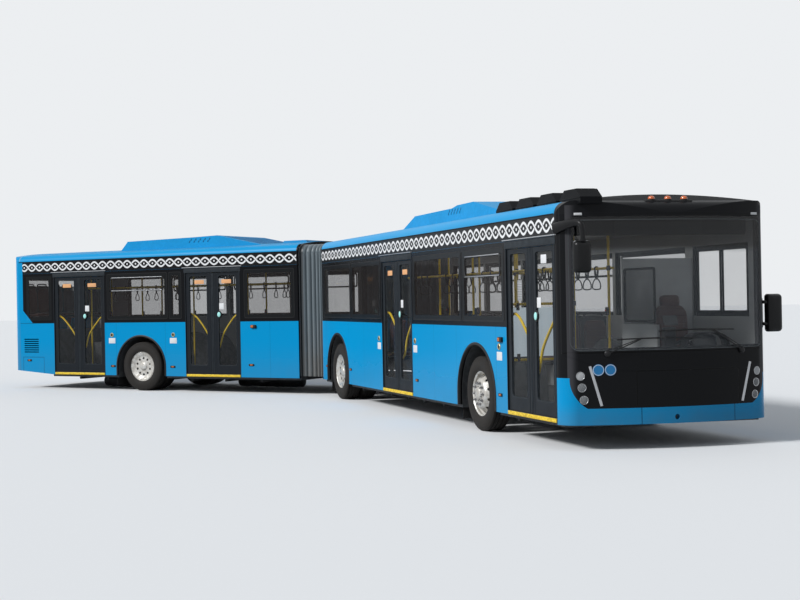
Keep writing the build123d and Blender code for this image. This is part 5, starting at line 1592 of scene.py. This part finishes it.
def side_fittings():
    """Amber side markers on black feet, indicators in hoods, and round locks with blank labels under them."""
    marker_foot = plate(0.040, 0.120, 0.010, 0.012, 0.003, "Y")
    marker_lens = plate(0.022, 0.056, 0.010, 0.008, 0.003, "Y")
    hood = plate(0.060, 0.120, 0.034, 0.016, 0.006, "Y")
    hood_lens = plate(0.044, 0.060, 0.034, 0.012, 0.006, "Y")
    lock = turned([(0.024, -0.004), (0.040, -0.004), (0.040, 0.006), (0.034, 0.011), (0.026, 0.010)], "Y", 32)
    core = disc(0.0235, 0.012, "Y", 0.0, 24)
    label = plate(0.105, 0.165, 0.001, 0.004, 0.0003, "Y")
    for section, markers, (hood_x, hood_z), _ in SIDE_PARTS:
        feet, lenses = [], []
        for sign in (1, -1):
            feet += [marker_foot.move(x, sign * (HALF_W + 0.003), z) for x, z in markers]
            feet.append(hood.move(hood_x, sign * (HALF_W + 0.014), hood_z))
            lenses += [marker_lens.move(x, sign * (HALF_W + 0.009), z) for x, z in markers]
            lenses.append(hood_lens.move(hood_x - 0.020, sign * (HALF_W + 0.018), hood_z))
        piece(f"{section.body}_marker_feet", feet, "marker_foot", section)
        piece(f"{section.body}_marker_lenses", lenses, "marker_amber", section)
    for section, _, _, locks in SIDE_PARTS:
        spots = [(x, -HALF_W - 0.001, 1.100) for x in locks]
        piece(f"{section.body}_locks", set_out(lock.turn("Z", 180), spots), "lock_metal", section)
        piece(f"{section.body}_lock_cores", set_out(core.turn("Z", 180), spots), "marker_foot", section)
        labels = set_out(label, [(x, -HALF_W - 0.0008, 0.985) for x in locks])
        piece(f"{section.body}_labels", labels, "side_label", section)


def glazing():
    """Frames of the opening top lights in the side windows, and narrow seals round every window."""
    for section in (FRONT, REAR):
        for side, sign, windows in (("right", -1, RIGHT_WINDOWS), ("left", 1, LEFT_WINDOWS)):
            seals, lights, bars = [], [], []
            for low, high, opening in windows[section.body]:
                width, height, middle = high - low, 0.860, (low + high) / 2
                if high > -6.9 or section is FRONT:
                    outer, hole = (width + 0.052, height + 0.052, 0.045), (width + 0.030, height + 0.030, 0.035)
                    seal = ring_plate(outer, hole, 0.006, edge=0.002)
                    seals.append(seal.move(middle, sign * (HALF_W + 0.0005), sum(WINDOW_Z) / 2))
                if opening:
                    sizes = (width - 0.13, 0.285, 0.04), (width - 0.19, 0.225, 0.03)
                    light = ring_plate(*sizes, 0.014, edge=0.004)
                    lights.append(light.move(middle, sign * (HALF_W + 0.001), 2.105))
                    bar = plate(0.010, width - 0.20, 0.006, 0.003, 0.001, "Y")
                    bars += [bar.move(middle, sign * (HALF_W + 0.0075), z) for z in (1.976, 2.234)]
            name = f"{section.body}_{side}"
            piece(f"{name}_seals", seals, "window_seal", section)
            piece(f"{name}_top_lights", lights, "top_light_frame", section)
            piece(f"{name}_top_light_bars", bars, "bare_alloy", section)


for build in (
    doors, bellows, lamps, signs, mirrors, wipers, beacons, roof_units, roof_fittings, arch_trims,
    side_fittings, glazing,
):
    build()


# Seats

# Middle of the double seats across the bus; for each side (1 is the left) their places along X
SEAT_Y = 0.780
FRONT_SEATS = ((1, (-1.000, -1.760, -2.520, -3.280, -4.040, -4.800)), (-1, (-1.000, -1.760, -4.900)))
REAR_SEATS = ((1, (-1.480, -2.240, -3.000, -5.720)), (-1, (-1.480,)))
# The raised row at the tail: its place along X, across and its floor
BENCH_X = -7.560
BENCH_Y = (0.800, 0.0, -0.800)
BENCH_Z = 1.050
FLOOR_Z = 0.345


def pad(width, depth, thick, crown):
    """Cushion about the origin, lying flat: rounded outlines from its underside out and over the top.

    Half sizes follow a quarter sine out and back. The top rises by crown times the product of two
    cosines, and each outline is drawn in between its corners by a share of its size.
    """
    rows = [
        (0.05, -1.0), (0.35, -1.0), (0.70, -1.0), (0.93, -0.98), (0.985, -0.80), (1.0, -0.45), (1.0, 0.0),
        (0.995, 0.45), (0.975, 0.78),
    ]
    rows += [(0.975 - 0.925 * s, 0.78 + 0.22 * min(1, s * 4)) for s in np.linspace(0, 1, 9)[1:]]
    angle = (np.arange(56) + 0.5) * 2 * pi / 56
    power = 2 / 4.2
    square = np.stack([np.sign(a) * np.abs(a) ** power for a in (np.cos(angle), np.sin(angle))], axis=1)
    pull = 1 - 0.018 * np.cos(4 * angle) ** 2
    loops = []
    for size, level in rows:
        flat = square * (width / 2, depth / 2) * size * pull[:, None]
        dome = np.cos(flat[:, 0] * pi / width * 0.98) * np.cos(flat[:, 1] * pi / depth * 0.98)
        high = level * thick / 2 + (crown * np.maximum(dome, 0) if level > 0.5 else 0)
        loops.append(stand(flat[:, ::-1], "Z", high))
    return tube(loops)


def inflated(shape, name):
    """The cushion filled by cloth pressure for 16 frames, each point moved by 9 mm at most."""
    frames, most = 16, 0.009
    mesh = bpy.data.meshes.new(name)
    faces = [*map(tuple, shape.quads.tolist()), *map(tuple, shape.tris.tolist())]
    mesh.from_pydata([tuple(p) for p in shape.points], [], faces)
    thing = link(name, mesh)
    held = thing.vertex_groups.new(name="held")
    low = np.nonzero(shape.points[:, 2] < shape.points[:, 2].min() + 0.004)[0]
    held.add(low.tolist(), 1.0, "REPLACE")
    cloth = thing.modifiers.new("cloth", "CLOTH")
    cloth.settings.use_pressure = True
    cloth.settings.uniform_pressure_force = 4
    cloth.settings.tension_stiffness = 30
    cloth.settings.effector_weights.gravity = 0
    cloth.settings.vertex_group_mass = "held"
    cloth.point_cache.frame_end = frames
    for step in range(1, frames + 1):
        bpy.context.scene.frame_set(step)
    ready = thing.evaluated_get(bpy.context.evaluated_depsgraph_get())
    moved = np.zeros(3 * len(shape.points), np.float32)
    ready.data.vertices.foreach_get("co", moved)
    bpy.context.scene.frame_set(1)
    bpy.data.objects.remove(thing)
    push = moved.reshape(-1, 3) - shape.points
    reach = np.linalg.norm(push, axis=1, keepdims=True)
    push *= np.minimum(1, most / np.maximum(reach, 1e-9))
    return Shape(shape.points + push, shape.quads, shape.tris)


def seat_shell(width):
    """Moulded shell: a side profile carried across the seat, with its edges raised by the fourth power."""
    profile = smooth_path([
        (0.205, 0.412), (0.198, 0.438), (0.150, 0.444), (0.000, 0.428), (-0.110, 0.424), (-0.160, 0.448),
        (-0.180, 0.520), (-0.190, 0.740), (-0.203, 1.000), (-0.209, 1.072), (-0.222, 1.060),
    ], 4)
    t = np.linspace(-1, 1, 13)
    ahead = unit(np.gradient(profile, axis=0))
    normal = np.stack([-ahead[:, 1], ahead[:, 0]], axis=1)
    layers = []
    for back in (0.0, 0.008):
        line = profile[:, None] + normal[:, None] * (0.024 * t[None, :, None] ** 4 - back)
        across = np.broadcast_to(t * width / 2, line.shape[:2])
        layers.append(np.stack([line[..., 0], across, line[..., 1]], axis=2))
    return tube(np.concatenate([layers[0], layers[1][:, ::-1]], axis=1), band=True)


def seat_handle(width):
    """Grab loop over the back of a seat."""
    half = width / 2 - 0.055
    side = [(-0.226, half, 0.960), (-0.228, half, 1.060), (-0.222, half - 0.035, 1.108)]
    corners = [(x, -y, z) for x, y, z in side] + side[::-1]
    return pipe(smooth_path(corners, 5), 0.0125, 10, up=(1, 0, 0))


def column(rows, corner, count):
    """Upright column of rounded rectangles, each row a width, a depth and a height."""
    return tube([stand(rounded(width, depth, corner, count), "Z", z) for width, depth, z in rows])


def seat_leg(wide):
    """Column, foot plate and cross bearer under a seat, with four bolts."""
    rows = ((0.16, 0.10, 0.004), (0.10, 0.06, 0.06), (0.07, 0.05, 0.25), (0.10, 0.08, 0.395))
    foot = plate(0.22, 0.15, 0.008, 0.02, 0.002, "Z").move(-0.01, 0, 0.0045)
    bearer = box((-0.13, 0.15), (-wide / 2 + 0.05, wide / 2 - 0.05), (0.385, 0.415), 0.008)
    bolt = hex_nut(0, 0.008, 0.007).turn("X", 90)
    bolts = set_out(bolt, [(x, y, 0.009) for x in (-0.09, 0.07) for y in (-0.055, 0.055)])
    return total([column(rows, 0.02, 4).move(x=-0.01), foot, bearer, bolts])


def seat_cloth():
    """Brown plush with a fine weave, small lighter flecks and sewn channels across each pad."""
    f = Finish("seat_cloth", (0.075, 0.028, 0.024), 0.9, sheen_weight=0.2, sheen_roughness=0.4)
    u, v, _ = f.split(f.place("UV"))
    weave = (u * 2400).sin() * (v * 2400).sin()
    channel = (u + 0.03).wave(0.085).below(0.0035, 0.0025)
    border = v.abs().above(0.150, 0.002) * v.abs().below(0.1545, 0.002)
    fleck = ((u * 105).sin() * (v * 130 + u * 40).sin()).above(0.78, 0.05)
    worn = f.noise(8, 4).within(0.5, 0.85, 0.15)
    sewn = channel.max(border)
    f.layers(
        (fleck * 0.5, (0.24, 0.10, 0.05)),
        (sewn * 0.7, (0.02, 0.008, 0.008)),
        (worn * 0.25, (0.12, 0.07, 0.06)),
    )
    f.bump(weave * 0.08 - sewn + 1, 0.004)


def corner_pairs(shapes, flats):
    """Texture pairs of each face's corners, in the order of the faces of all shapes added up."""
    return np.concatenate(
        [flat[shape.quads.ravel()] for shape, flat in zip(shapes, flats)]
        + [flat[shape.tris.ravel()] for shape, flat in zip(shapes, flats)]
    )


def padded_piece(name, shapes, flats, section, **options):
    """Cushions as one soft piece."""
    made = piece(name, shapes, "seat_cloth", section, sharp=80, uv=corner_pairs(shapes, flats), **options)


def seats():
    """Every passenger seat: shell, leg, handle and two padded cushions each."""
    seat_cloth()
    base = inflated(pad(0.355, 0.335, 0.046, 0.012), "cushion_trial")
    back = inflated(pad(0.345, 0.520, 0.036, 0.010), "back_trial")
    cushion = base.turn("Y", -2.5).move(0.022, 0, 0.462)
    rest = back.turn("Y", 90).turn("Y", -2.0).move(-0.163, 0, 0.765)
    for section, rows in ((FRONT, FRONT_SEATS), (REAR, REAR_SEATS)):
        legs = [(x, side * SEAT_Y, FLOOR_Z, 0.82, 0.205) for side, xs in rows for x in xs]
        if section is REAR:
            legs += [(BENCH_X, y, BENCH_Z, 0.78, 0.195) for y in BENCH_Y]
        spots = [(x, y + off, z) for x, y, z, _, reach in legs for off in (-reach, reach)]
        end = section.name
        cushions = [shape.move(*spot) for spot in spots for shape in (cushion, rest)]
        flats = [shape.points[:, :2] for _ in spots for shape in (base, back)]
        padded_piece(f"{end}_seat_pads", cushions, flats, section, replaces=[f"{end}_seats"])
        piece(f"{end}_seat_shells", set_out(seat_shell(0.392), spots), "seat_plastic", section, sharp=50)
        piece(f"{end}_seat_handles", set_out(seat_handle(0.392), spots), "trim_black", section)
        feet = [seat_leg(wide).move(x, y, z) for x, y, z, wide, _ in legs]
        piece(f"{end}_seat_legs", feet, "seat_leg_paint", section)


def driver_seat():
    """Driver's seat: broad sprung cushion, high bolstered back with a head pad, arm rests and bellows base."""
    at = (1.560, 0.720, 0.545)
    parts = [
        pad(0.450, 0.400, 0.085, 0.018).turn("Y", -3).move(0.03, 0, 0.425),
        pad(0.430, 0.560, 0.075, 0.016).turn("Y", 90).turn("Y", -6).move(-0.175, 0, 0.75),
        pad(0.250, 0.150, 0.060, 0.012).turn("Y", 90).turn("Y", -6).move(-0.205, 0, 1.075),
    ]
    flats = [part.points - part.points.mean(0) for part in parts]
    flats = [flats[0][:, :2], *(flat[:, [2, 1]] for flat in flats[1:])]
    padded_piece("driver_seat_pads", [part.move(*at) for part in parts], flats, FRONT)
    base = [column((
        (0.36, 0.34, 0.002), (0.36, 0.34, 0.05), (0.30, 0.28, 0.09), (0.34, 0.32, 0.13), (0.30, 0.28, 0.17),
        (0.34, 0.32, 0.21), (0.30, 0.28, 0.25), (0.36, 0.36, 0.29), (0.38, 0.40, 0.38),
    ), 0.03, 5)]
    for sign in (1, -1):
        arm = [(-0.16, sign * 0.245, 0.62), (-0.05, sign * 0.250, 0.64), (0.13, sign * 0.250, 0.625)]
        base.append(pipe(smooth_path(arm, 6), 0.022, 12))
        base.append(pipe([(-0.205, sign * 0.06, 0.98), (-0.213, sign * 0.06, 1.06)], 0.006, 8, up=(1, 0, 0)))
    base.append(box((-0.235, -0.205), (-0.20, 0.20), (0.42, 0.98), 0.012, 0.03))
    piece("driver_seat_base", total(base).move(*at), "seat_plastic")


# Inside

# Places of the poles along X in each section, and how far poles and ceiling rails stand from the middle
POLES = ((FRONT, (-5.150, -3.800, -2.400, -0.800, 0.550)), (REAR, (-6.650, -5.300, -4.000, -2.700, -1.350)))
POLE_Y = 0.330
RAIL_Y = 0.3643


def handrail_fittings():
    """Clamps where rails meet, floor and ceiling flanges, hanging straps and stop buttons."""
    fittings = total(
        turned(profile, "Z", count) for profile, count in (
            ([(0.018, 2.018), (0.026, 2.022), (0.028, 2.05), (0.026, 2.078), (0.018, 2.082)], 20),
            ([(0.018, 0.375), (0.022, 0.373), (0.045, 0.351), (0.046, 0.346), (0.018, 0.346)], 24),
            ([(0.018, 2.679), (0.046, 2.679), (0.045, 2.674), (0.022, 2.655), (0.018, 2.653)], 24),
        )
    )
    loop = [
        (0, 0.021, 2.050), (0, 0, 2.072), (0, -0.021, 2.050), (0, -0.012, 1.96), (0, 0, 1.925),
        (0, 0.012, 1.96),
    ]
    strap = swept(smooth_path(loop, 4, True), rounded(0.028, 0.003, 0.001, 2), closed=True, up=(1, 0, 0))
    loop = [
        (0, -0.055, 1.800), (0, -0.045, 1.88), (0, 0, 1.925), (0, 0.045, 1.88), (0, 0.055, 1.800),
        (0, 0, 1.782),
    ]
    grip = pipe(smooth_path(loop, 4, True), 0.008, 8, closed=True, up=(1, 0, 0))
    case = box((-0.022, 0.022), (-0.021, 0.021), (1.455, 1.555), 0.008, 0.012)
    button = disc(0.014, 0.008, "Y", 0.002, 20)
    for section, poles in POLES:
        parts, straps, buttons = [], [], []
        for sign in (1, -1):
            parts.append(set_out(fittings, [(x, sign * POLE_Y, 0) for x in poles]))
            parts.append(set_out(case, [(x, sign * (POLE_Y - 0.031), 0) for x in poles]))
            facing = button.turn("Z", 180) if sign > 0 else button
            buttons.append(set_out(facing, [(x, sign * (POLE_Y - 0.053), 1.515) for x in poles]))
            spots = [
                (a + (b - a) * share, sign * RAIL_Y, 0) for a, b in zip(poles[:-1], poles[1:])
                for share in (0.3, 0.5, 0.7)
            ]
            straps.append(set_out(strap, spots))
            parts.append(set_out(grip, spots))
        piece(f"{section.name}_rail_fittings", parts, "rail_clamp", section)
        piece(f"{section.name}_straps", straps, "strap_web", section)
        piece(f"{section.name}_stop_buttons", buttons, "stop_button", section)


def ceiling():
    """Ceiling panels with a lamp strip and an air duct along each side."""
    duct = [(0.0, 0.0), (0.0, -0.16), (0.03, -0.19), (0.17, -0.19), (0.26, -0.12), (0.30, 0.0)]
    spans = (FRONT, -7.20, 2.20, "ceiling_lamp_lit"), (REAR, -7.55, -1.10, "ceiling_lamp")
    for section, low, high, lamp in spans:
        count = round((high - low) / 1.3)
        step = (high - low) / count
        middles = [low + (n + 0.5) * step for n in range(count)]
        panel = plate(step - 0.012, 1.10, 0.012, 0.02, 0.003, "Z")
        strip = swept(along_x(-step / 2 + 0.03, step / 2 - 0.03, 0, 0), rounded(0.10, 0.03, 0.012, 4))
        strips = set_out(strip, [(x, y, 2.655) for x in middles for y in (0.640, -0.640)])
        ducts = [
            swept(along_x(low, high, sign * 0.88, 2.672), [(-sign * side, up) for side, up in duct])
            for sign in (1, -1)
        ]
        panels = set_out(panel, [(x, 0, 2.668) for x in middles])
        piece(f"{section.name}_ceiling", panels, "ceiling_panel", section)
        piece(f"{section.name}_ceiling_lamps", strips, lamp, section)
        piece(f"{section.name}_air_ducts", ducts, "air_duct", section)


def cab_fittings():
    """Instrument cowl, screens, stalks, wheel hub, pedals, header box, cab glass and window frames."""
    cowl = smooth_path([
        (2.20, 0.42, 1.075), (2.20, 0.45, 1.19), (2.20, 0.56, 1.245), (2.20, 0.82, 1.245), (2.20, 0.93, 1.19),
        (2.20, 0.96, 1.075),
    ], 6)
    profile = [(0, -0.03), (0.055, -0.03), (0.062, 0.0), (0.060, 0.018), (0.030, 0.028), (0, 0.030)]
    hub = turned(profile, "Z", 32)
    shapes = [
        swept(cowl, rounded(0.02, 0.16, 0.008, 3), up=(1, 0, 0)),
        hub.turn("Y", -25).move(1.970, 0.690, 1.130),
        box((1.98, 2.07), (0.26, 0.40), (1.06, 1.32), 0.012, 0.02),
    ]
    for sign in (1, -1):
        stalk = [(2.03, 0.04, 1.10), (2.02, 0.12, 1.13), (2.00, 0.20, 1.15)]
        stalk = [(x, 0.69 + sign * y, z) for x, y, z in stalk]
        shapes.append(pipe(smooth_path(stalk, 5), 0.009, 10))
    for y in (0.60, 0.78):
        shapes.append(plate(0.09, 0.16, 0.012, 0.015, 0.003, "Z").turn("Y", -35).move(2.03, y, 0.60))
        shapes.append(pipe([(2.06, y, 0.62), (2.075, y, 0.80)], 0.010, 8, up=(0, 1, 0)))
    piece("cab_controls", shapes, "cab_black")
    profile = [(-0.10, -0.20), (0.09, -0.205), (0.11, -0.17), (0.11, 0.02), (-0.10, 0.02)]
    piece("screen_header", swept([(2.44, -1.02, 2.575), (2.44, 1.02, 2.575)], profile), "cab_black")
    screens = [
        plate(0.30, 0.11, 0.012, 0.01, 0.003, "X").turn("Y", -12).move(2.185, 0.69, 1.155),
        plate(0.18, 0.12, 0.014, 0.01, 0.003, "X").turn("Y", -20).move(2.06, 0.33, 1.40),
        plate(1.08, 0.20, 0.02, 0.01, 0.003, "X").move(2.565, -0.08, 2.480),
    ]
    piece("cab_screens", screens, "dark_screen")
    piece("cab_door_glass", plate(0.62, 0.72, 0.008, 0.03, 0.002, "Y").move(1.46, 0.265, 1.70), "cab_glass")
    frames = [ring_plate((0.76, 0.66, 0.04), (0.70, 0.60, 0.03), 0.02).move(1.46, 0.265, 1.70)]
    low, high, _ = LEFT_WINDOWS["front_section"][-1]
    width = (high - low) / 2
    sliding = ring_plate((width, 0.79, 0.03), (width - 0.07, 0.72, 0.025), 0.014, edge=0.004)
    for x, out in ((low + 0.03 + width / 2, 0.0), (high - 0.03 - width / 2, 0.016)):
        frames.append(sliding.move(x, HALF_W - 0.025 - out, 1.860))
    piece("driver_window_frames", frames, "trim_black")


# Heights of the wind panel's two rails
WIND_RAILS = (0.935, 1.615)
CEILING_Z = 2.680


def wind_panel():
    """Frosted panel behind door 1 with a painted glow for the daylight behind it, in a frame of yellow rails.

    A pole holds it from the floor to the ceiling.
    """
    x, near, far = 0.860, -0.300, -1.198
    rails = [pipe([(x, near, FLOOR_Z), (x, near, CEILING_Z)], 0.0175, 14, up=(0, 1, 0))]
    rails += [pipe([(x, far, z), (x, near, z)], 0.0165, 14) for z in WIND_RAILS]
    piece("wind_panel_rails", rails, "rail_paint")
    board = plate(near - far - 0.06, 0.600, 0.010, 0.02, 0.002, "X")
    board = board.move(x, (near + far) / 2, sum(WIND_RAILS) / 2)
    piece("wind_panel", board, "wind_panel_painted_glow")
    clamps = []
    for z, shift in zip(WIND_RAILS, (0.03, -0.03)):
        sides = (x - 0.024, x + 0.024), (near - 0.024, near + 0.024), (z - 0.03, z + 0.03)
        clamps.append(box(*sides, 0.008, 0.02))
        clamps.append(disc(0.038, 0.012, "Y", 0.002, 24).move(x, far + 0.002, z))
        grip = box((-0.020, 0.020), (-0.02, 0.02), (-0.045, 0.045), 0.006)
        clamps += [grip.move(x, y, z + shift) for y in (near - 0.15, far + 0.15)]
    foot = disc(0.044, 0.010, "Z", 0.003, 24)
    clamps += [foot.move(x, near, FLOOR_Z + 0.005), foot.turn("X", 180).move(x, near, CEILING_Z - 0.005)]
    piece("wind_panel_clamps", clamps, "trim_black")


def validators():
    """Ticket readers on the poles by the doors, each with a dark face."""
    case = plate(0.13, 0.21, 0.065, 0.03, 0.012, "X").move(0.048, 0, 1.26)
    face = plate(0.10, 0.15, 0.006, 0.02, 0.002, "X").move(0.082, 0, 1.27)
    for section, xs in ((FRONT, (0.550, -2.400, -3.800)), (REAR, (-2.700, -5.300))):
        spots = [(x, -POLE_Y, 0) for x in xs]
        piece(f"{section.name}_readers", set_out(case, spots), "reader_case", section)
        piece(f"{section.name}_reader_faces", set_out(face, spots), "reader_face", section)


# Tail


def tail():
    """End lamps with rings, louvre blades, bumper step, blank plate, window seal and reflectors."""
    tail_paint()
    lid_paint()
    tail_lens("lens_red", (0.55, 0.008, 0.006))
    tail_lens("lens_amber", (0.75, 0.18, 0.01))
    paint("tail_paint", "rear_end")
    paint("lid_paint", "engine_lid")

    def add(name, shape, finish="trim_black", **options):
        piece(name, shape, finish, REAR, **options)

    ring = turned([(0.058, -0.002), (0.058, 0.012), (0.062, 0.016), (0.070, 0.012), (0.072, -0.002)], "X", 40)
    lens = disc(0.057, 0.010, "X", 0.008, 36).turn("Z", 180)
    lamps_y = (1.010, -1.010)
    reds = [(TAIL_X, y, z) for y in lamps_y for z in (0.760, 1.080)]
    ambers = [(TAIL_X, y, 0.920) for y in lamps_y]
    add("tail_lamp_rings", set_out(ring.turn("Z", 180), reds + ambers), "tail_ring")
    add("tail_lenses_red", set_out(lens.move(-0.006), reds), "lens_red", replaces=["tail_lamps"])
    add("tail_lenses_amber", set_out(lens.move(-0.006), ambers), "lens_amber")
    blade = plate(0.024, 1.18, 0.006, 0.002, 0.001, "Z").turn("Y", 30)
    blades = set_out(blade, [(TAIL_X + 0.012, 0, 0.749 + 0.042 * n) for n in range(6)])
    add("lid_louvres", blades, body="engine_lid")
    handle = box((-0.010, 0.004), (-0.06, 0.06), (0.60, 0.635), 0.005, 0.01)
    add("lid_handles", set_out(handle, [(TAIL_X, y, 0) for y in (0.55, -0.55)]), body="engine_lid")
    profile = [(-0.004, -0.055), (0.012, -0.050), (0.016, -0.02), (0.016, 0.03), (0.010, 0.04), (-0.004, 0.045)]
    add("tail_step", swept([(TAIL_X + 0.004, -1.10, 0.505), (TAIL_X + 0.004, 1.10, 0.505)], profile))
    seal = ring_plate((1.86, 0.80, 0.06), (1.78, 0.72, 0.05), 0.010, "X")
    add("tail_window_seal", seal.move(TAIL_X - 0.001, 0, 1.930))
    frame_ring = ring_plate((0.53, 0.125, 0.01), (0.515, 0.11, 0.006), 0.008, "X", 0.002)
    add("tail_plate_frame", frame_ring.move(TAIL_X - 0.010, 0, 0.415))
    board = plate(0.52, 0.112, 0.004, 0.006, 0.001, "X")
    add("tail_plate", board.move(TAIL_X - 0.010, 0, 0.415), "blank_plate")
    reflector = plate(0.16, 0.05, 0.008, 0.008, 0.002, "X")
    add("tail_reflectors", set_out(reflector, [(TAIL_X - 0.003, y, 0.42) for y in (0.80, -0.80)]), "lens_red")


def tail_lens(name, color):
    """Lamp glass with a fine grid, deep in colour under a clear coat."""
    f = Finish(name, color, 0.15, coat_weight=0.8)
    _, y, z = f.xyz(REAR)
    lines = y.wave(0.008).below(0.0012, 0.0006).max(z.wave(0.008).below(0.0012, 0.0006))
    darker, lighter = (tuple(min(1, c * share) for c in color) for share in (0.45, 1.5))
    f.layers((lines * 0.5, darker), (f.noise(12, 2).within(0.5, 0.8, 0.1) * 0.3, lighter))
    f.bump(1 - lines, 0.0015)


def tail_paint():
    """Blue rear end with panel joints, a black window surround and grime low down."""
    f = Finish("tail_paint", LINING, 0.3, specular_ior_level=0.12)
    x, y, z = f.xyz(REAR)
    outside = x.below(TAIL_X + 0.17, 0.002).max(y.abs().above(SKIN_Y, BLUR))
    black = z.within(1.42, 2.42) * y.abs().below(1.02, BLUR) * x.below(TAIL_X + 0.02)
    low, high, face = 0.535, 1.20, x.below(TAIL_X + 0.05)
    lines = z.near(high).max(z.near(low)) * face
    for at in (-0.87, 0.87):
        lines = lines.max(y.near(at) * z.within(low, high) * face)
    grime = f.noise(2.0, 6) * z.below(1.1, 0.6) * 0.6
    f.layers(
        (outside, BLUE),
        (black, BLACK),
        (outside * lines, (0.004, 0.01, 0.02)),
        (outside * grime, (0.13, 0.12, 0.105)),
    )
    f.set("Roughness", 0.24 + grime * 0.7)
    f.bump(1 - lines, 0.003)


def lid_paint():
    """Blue engine lid with soot round its slots."""
    f = Finish("lid_paint", BLUE, 0.32, specular_ior_level=0.12)
    _, y, z = f.xyz(REAR)
    soot = z.within(0.70, 1.02, 0.08) * y.abs().below(0.72, 0.15) * f.noise(5, 5)
    dust = f.noise(1.8, 6) * z.below(0.8, 0.3)
    f.layers((soot * 0.9, (0.03, 0.032, 0.035)), (dust * 0.5, (0.13, 0.12, 0.105)))
    f.set("Roughness", 0.28 + soot * 0.4)
    f.bump(f.noise(30, 3), 0.0003)


# Underneath


def underneath():
    """Cross-members, strapped air tanks and pipes under both floors, with mud flaps behind the wheels."""
    beam = swept([(0, -1.12, 0.228), (0, 1.12, 0.228)], rounded(0.06, 0.05, 0.008, 3))
    end = [(0.115 * cos(a), 0.36 + 0.06 * sin(a)) for a in np.linspace(0, pi / 2, 6)[:-1]]
    tank = [turned([(0, -0.42), *((r, -h) for r, h in end[::-1]), *end, (0, 0.42)], "X", 28).move(z=0.130)]
    for x in (-0.22, 0.22):
        strap = [(0.114, -0.015), (0.119, -0.015), (0.119, 0.015), (0.114, 0.015)]
        tank.append(turned(strap, "X", 28).move(x, 0, 0.130))
        tank.append(box((x - 0.015, x + 0.015), (-0.006, 0.006), (0.235, 0.256), 0.002))
    tank = total(tank)
    flap = box((-0.004, 0.004), (-0.17, 0.17), (0.105, 0.330), 0.002, 0.01)
    for section, beams, tanks, flaps in (
        (
            FRONT, (-5.4, -4.6, -3.9, -3.1, -2.4, -1.6, 1.0),
            ((-4.2, 0.35), (-3.3, 0.35), (-2.0, -0.4)), (-0.72, -7.13),
        ),
        (
            REAR, (-1.9, -2.7, -3.5, -5.6, -6.3),
            ((-3.0, 0.4), (-2.3, 0.4), (-5.9, -0.3)), (-5.31,),
        ),
    ):
        parts = [set_out(beam, [(x, 0, 0) for x in beams]), set_out(tank, [(x, y, 0) for x, y in tanks])]
        for y, r in ((0.0, 0.018), (0.08, 0.012), (0.13, 0.012)):
            parts.append(pipe(along_x(min(beams), max(beams), y, 0.192), r, 10))
        piece(f"{section.name}_underbody", parts, "underbody_paint", section)
        spots = [(x, y, 0) for x in flaps for y in (1, -1)]
        piece(f"{section.name}_mud_flaps", set_out(flap, spots), "mud_flap", section)


for build in (
    seats, driver_seat, handrail_fittings, ceiling, cab_fittings, wind_panel, validators, tail, underneath,
):
    build()


# Camera, ground and light


def camera():
    """Camera at the photograph's place: yaw, pitch and roll fitted to the bus, in degrees."""
    made = link("camera", bpy.data.cameras.new("camera"))
    bpy.context.scene.camera = made
    yaw, pitch, roll = radians(166.474), radians(0.049), radians(-1.0547)
    ahead = np.array([cos(yaw) * cos(pitch), sin(yaw) * cos(pitch), sin(pitch)])
    right = np.array([sin(yaw), -cos(yaw), 0.0])
    over = np.cross(right, ahead)
    right, over = cos(roll) * right + sin(roll) * over, -sin(roll) * right + cos(roll) * over
    stand_at(made, right, over, -ahead, (22.4253, -5.3492, 1.6977))
    lens = {"sensor_width": 36, "lens": 62.095, "shift_x": 0.152, "shift_y": 0.0009, "clip_end": 500}
    for key, value in lens.items():
        setattr(made.data, key, value)


def stand_at(thing, x, y, z, place=(0, 0, 0)):
    """Sets an object's three axes and its place."""
    matrix = np.eye(4)
    matrix[:3] = np.stack([x, y, z, place], axis=1)
    thing.matrix_world = Matrix(matrix)


def ground():
    """Pale floor, darker to the light that it throws back than to the eye."""
    f = Finish("ground", (0.24, 0.25, 0.26), 0.9)
    f.layers((f.seen(), (0.78, 0.79, 0.80)))
    far = 150
    mesh = bpy.data.meshes.new("ground")
    mesh.from_pydata([(-far, -far, 0), (far, -far, 0), (far, far, 0), (-far, far, 0)], [], [(0, 1, 2, 3)])
    mesh.materials.append(f.material)
    link("ground", mesh)


def light():
    """Soft sun and a pale studio sky, brighter to the eye than its own light."""
    sun = bpy.data.lights.new("sun", "SUN")
    sun.energy = 3.1
    sun.angle = radians(12)
    away = unit(np.array([0.12, -0.80, 0.60]))
    side = unit(np.cross([0, 0, 1], away))
    stand_at(link("sun", sun), side, np.cross(away, side), away)
    world = bpy.data.worlds.new("studio")
    bpy.context.scene.world = world
    world.use_nodes = True
    sky = Nodes(world.node_tree)
    lighting, shown = (
        sky.node("ShaderNodeBackground", inputs={"Color": (*color, 1), "Strength": strength}).outputs[0]
        for color, strength in (((0.82, 0.88, 0.95), 0.42), ((0.84, 0.86, 0.88), 1.0))
    )
    mixed = sky.node("ShaderNodeMixShader", inputs={0: sky.seen(), 1: lighting, 2: shown})
    sky.plug(sky.tree.nodes["World Output"].inputs["Surface"], mixed.outputs[0])


camera()
ground()
light()
bpy.context.scene.view_settings.view_transform = "Standard"
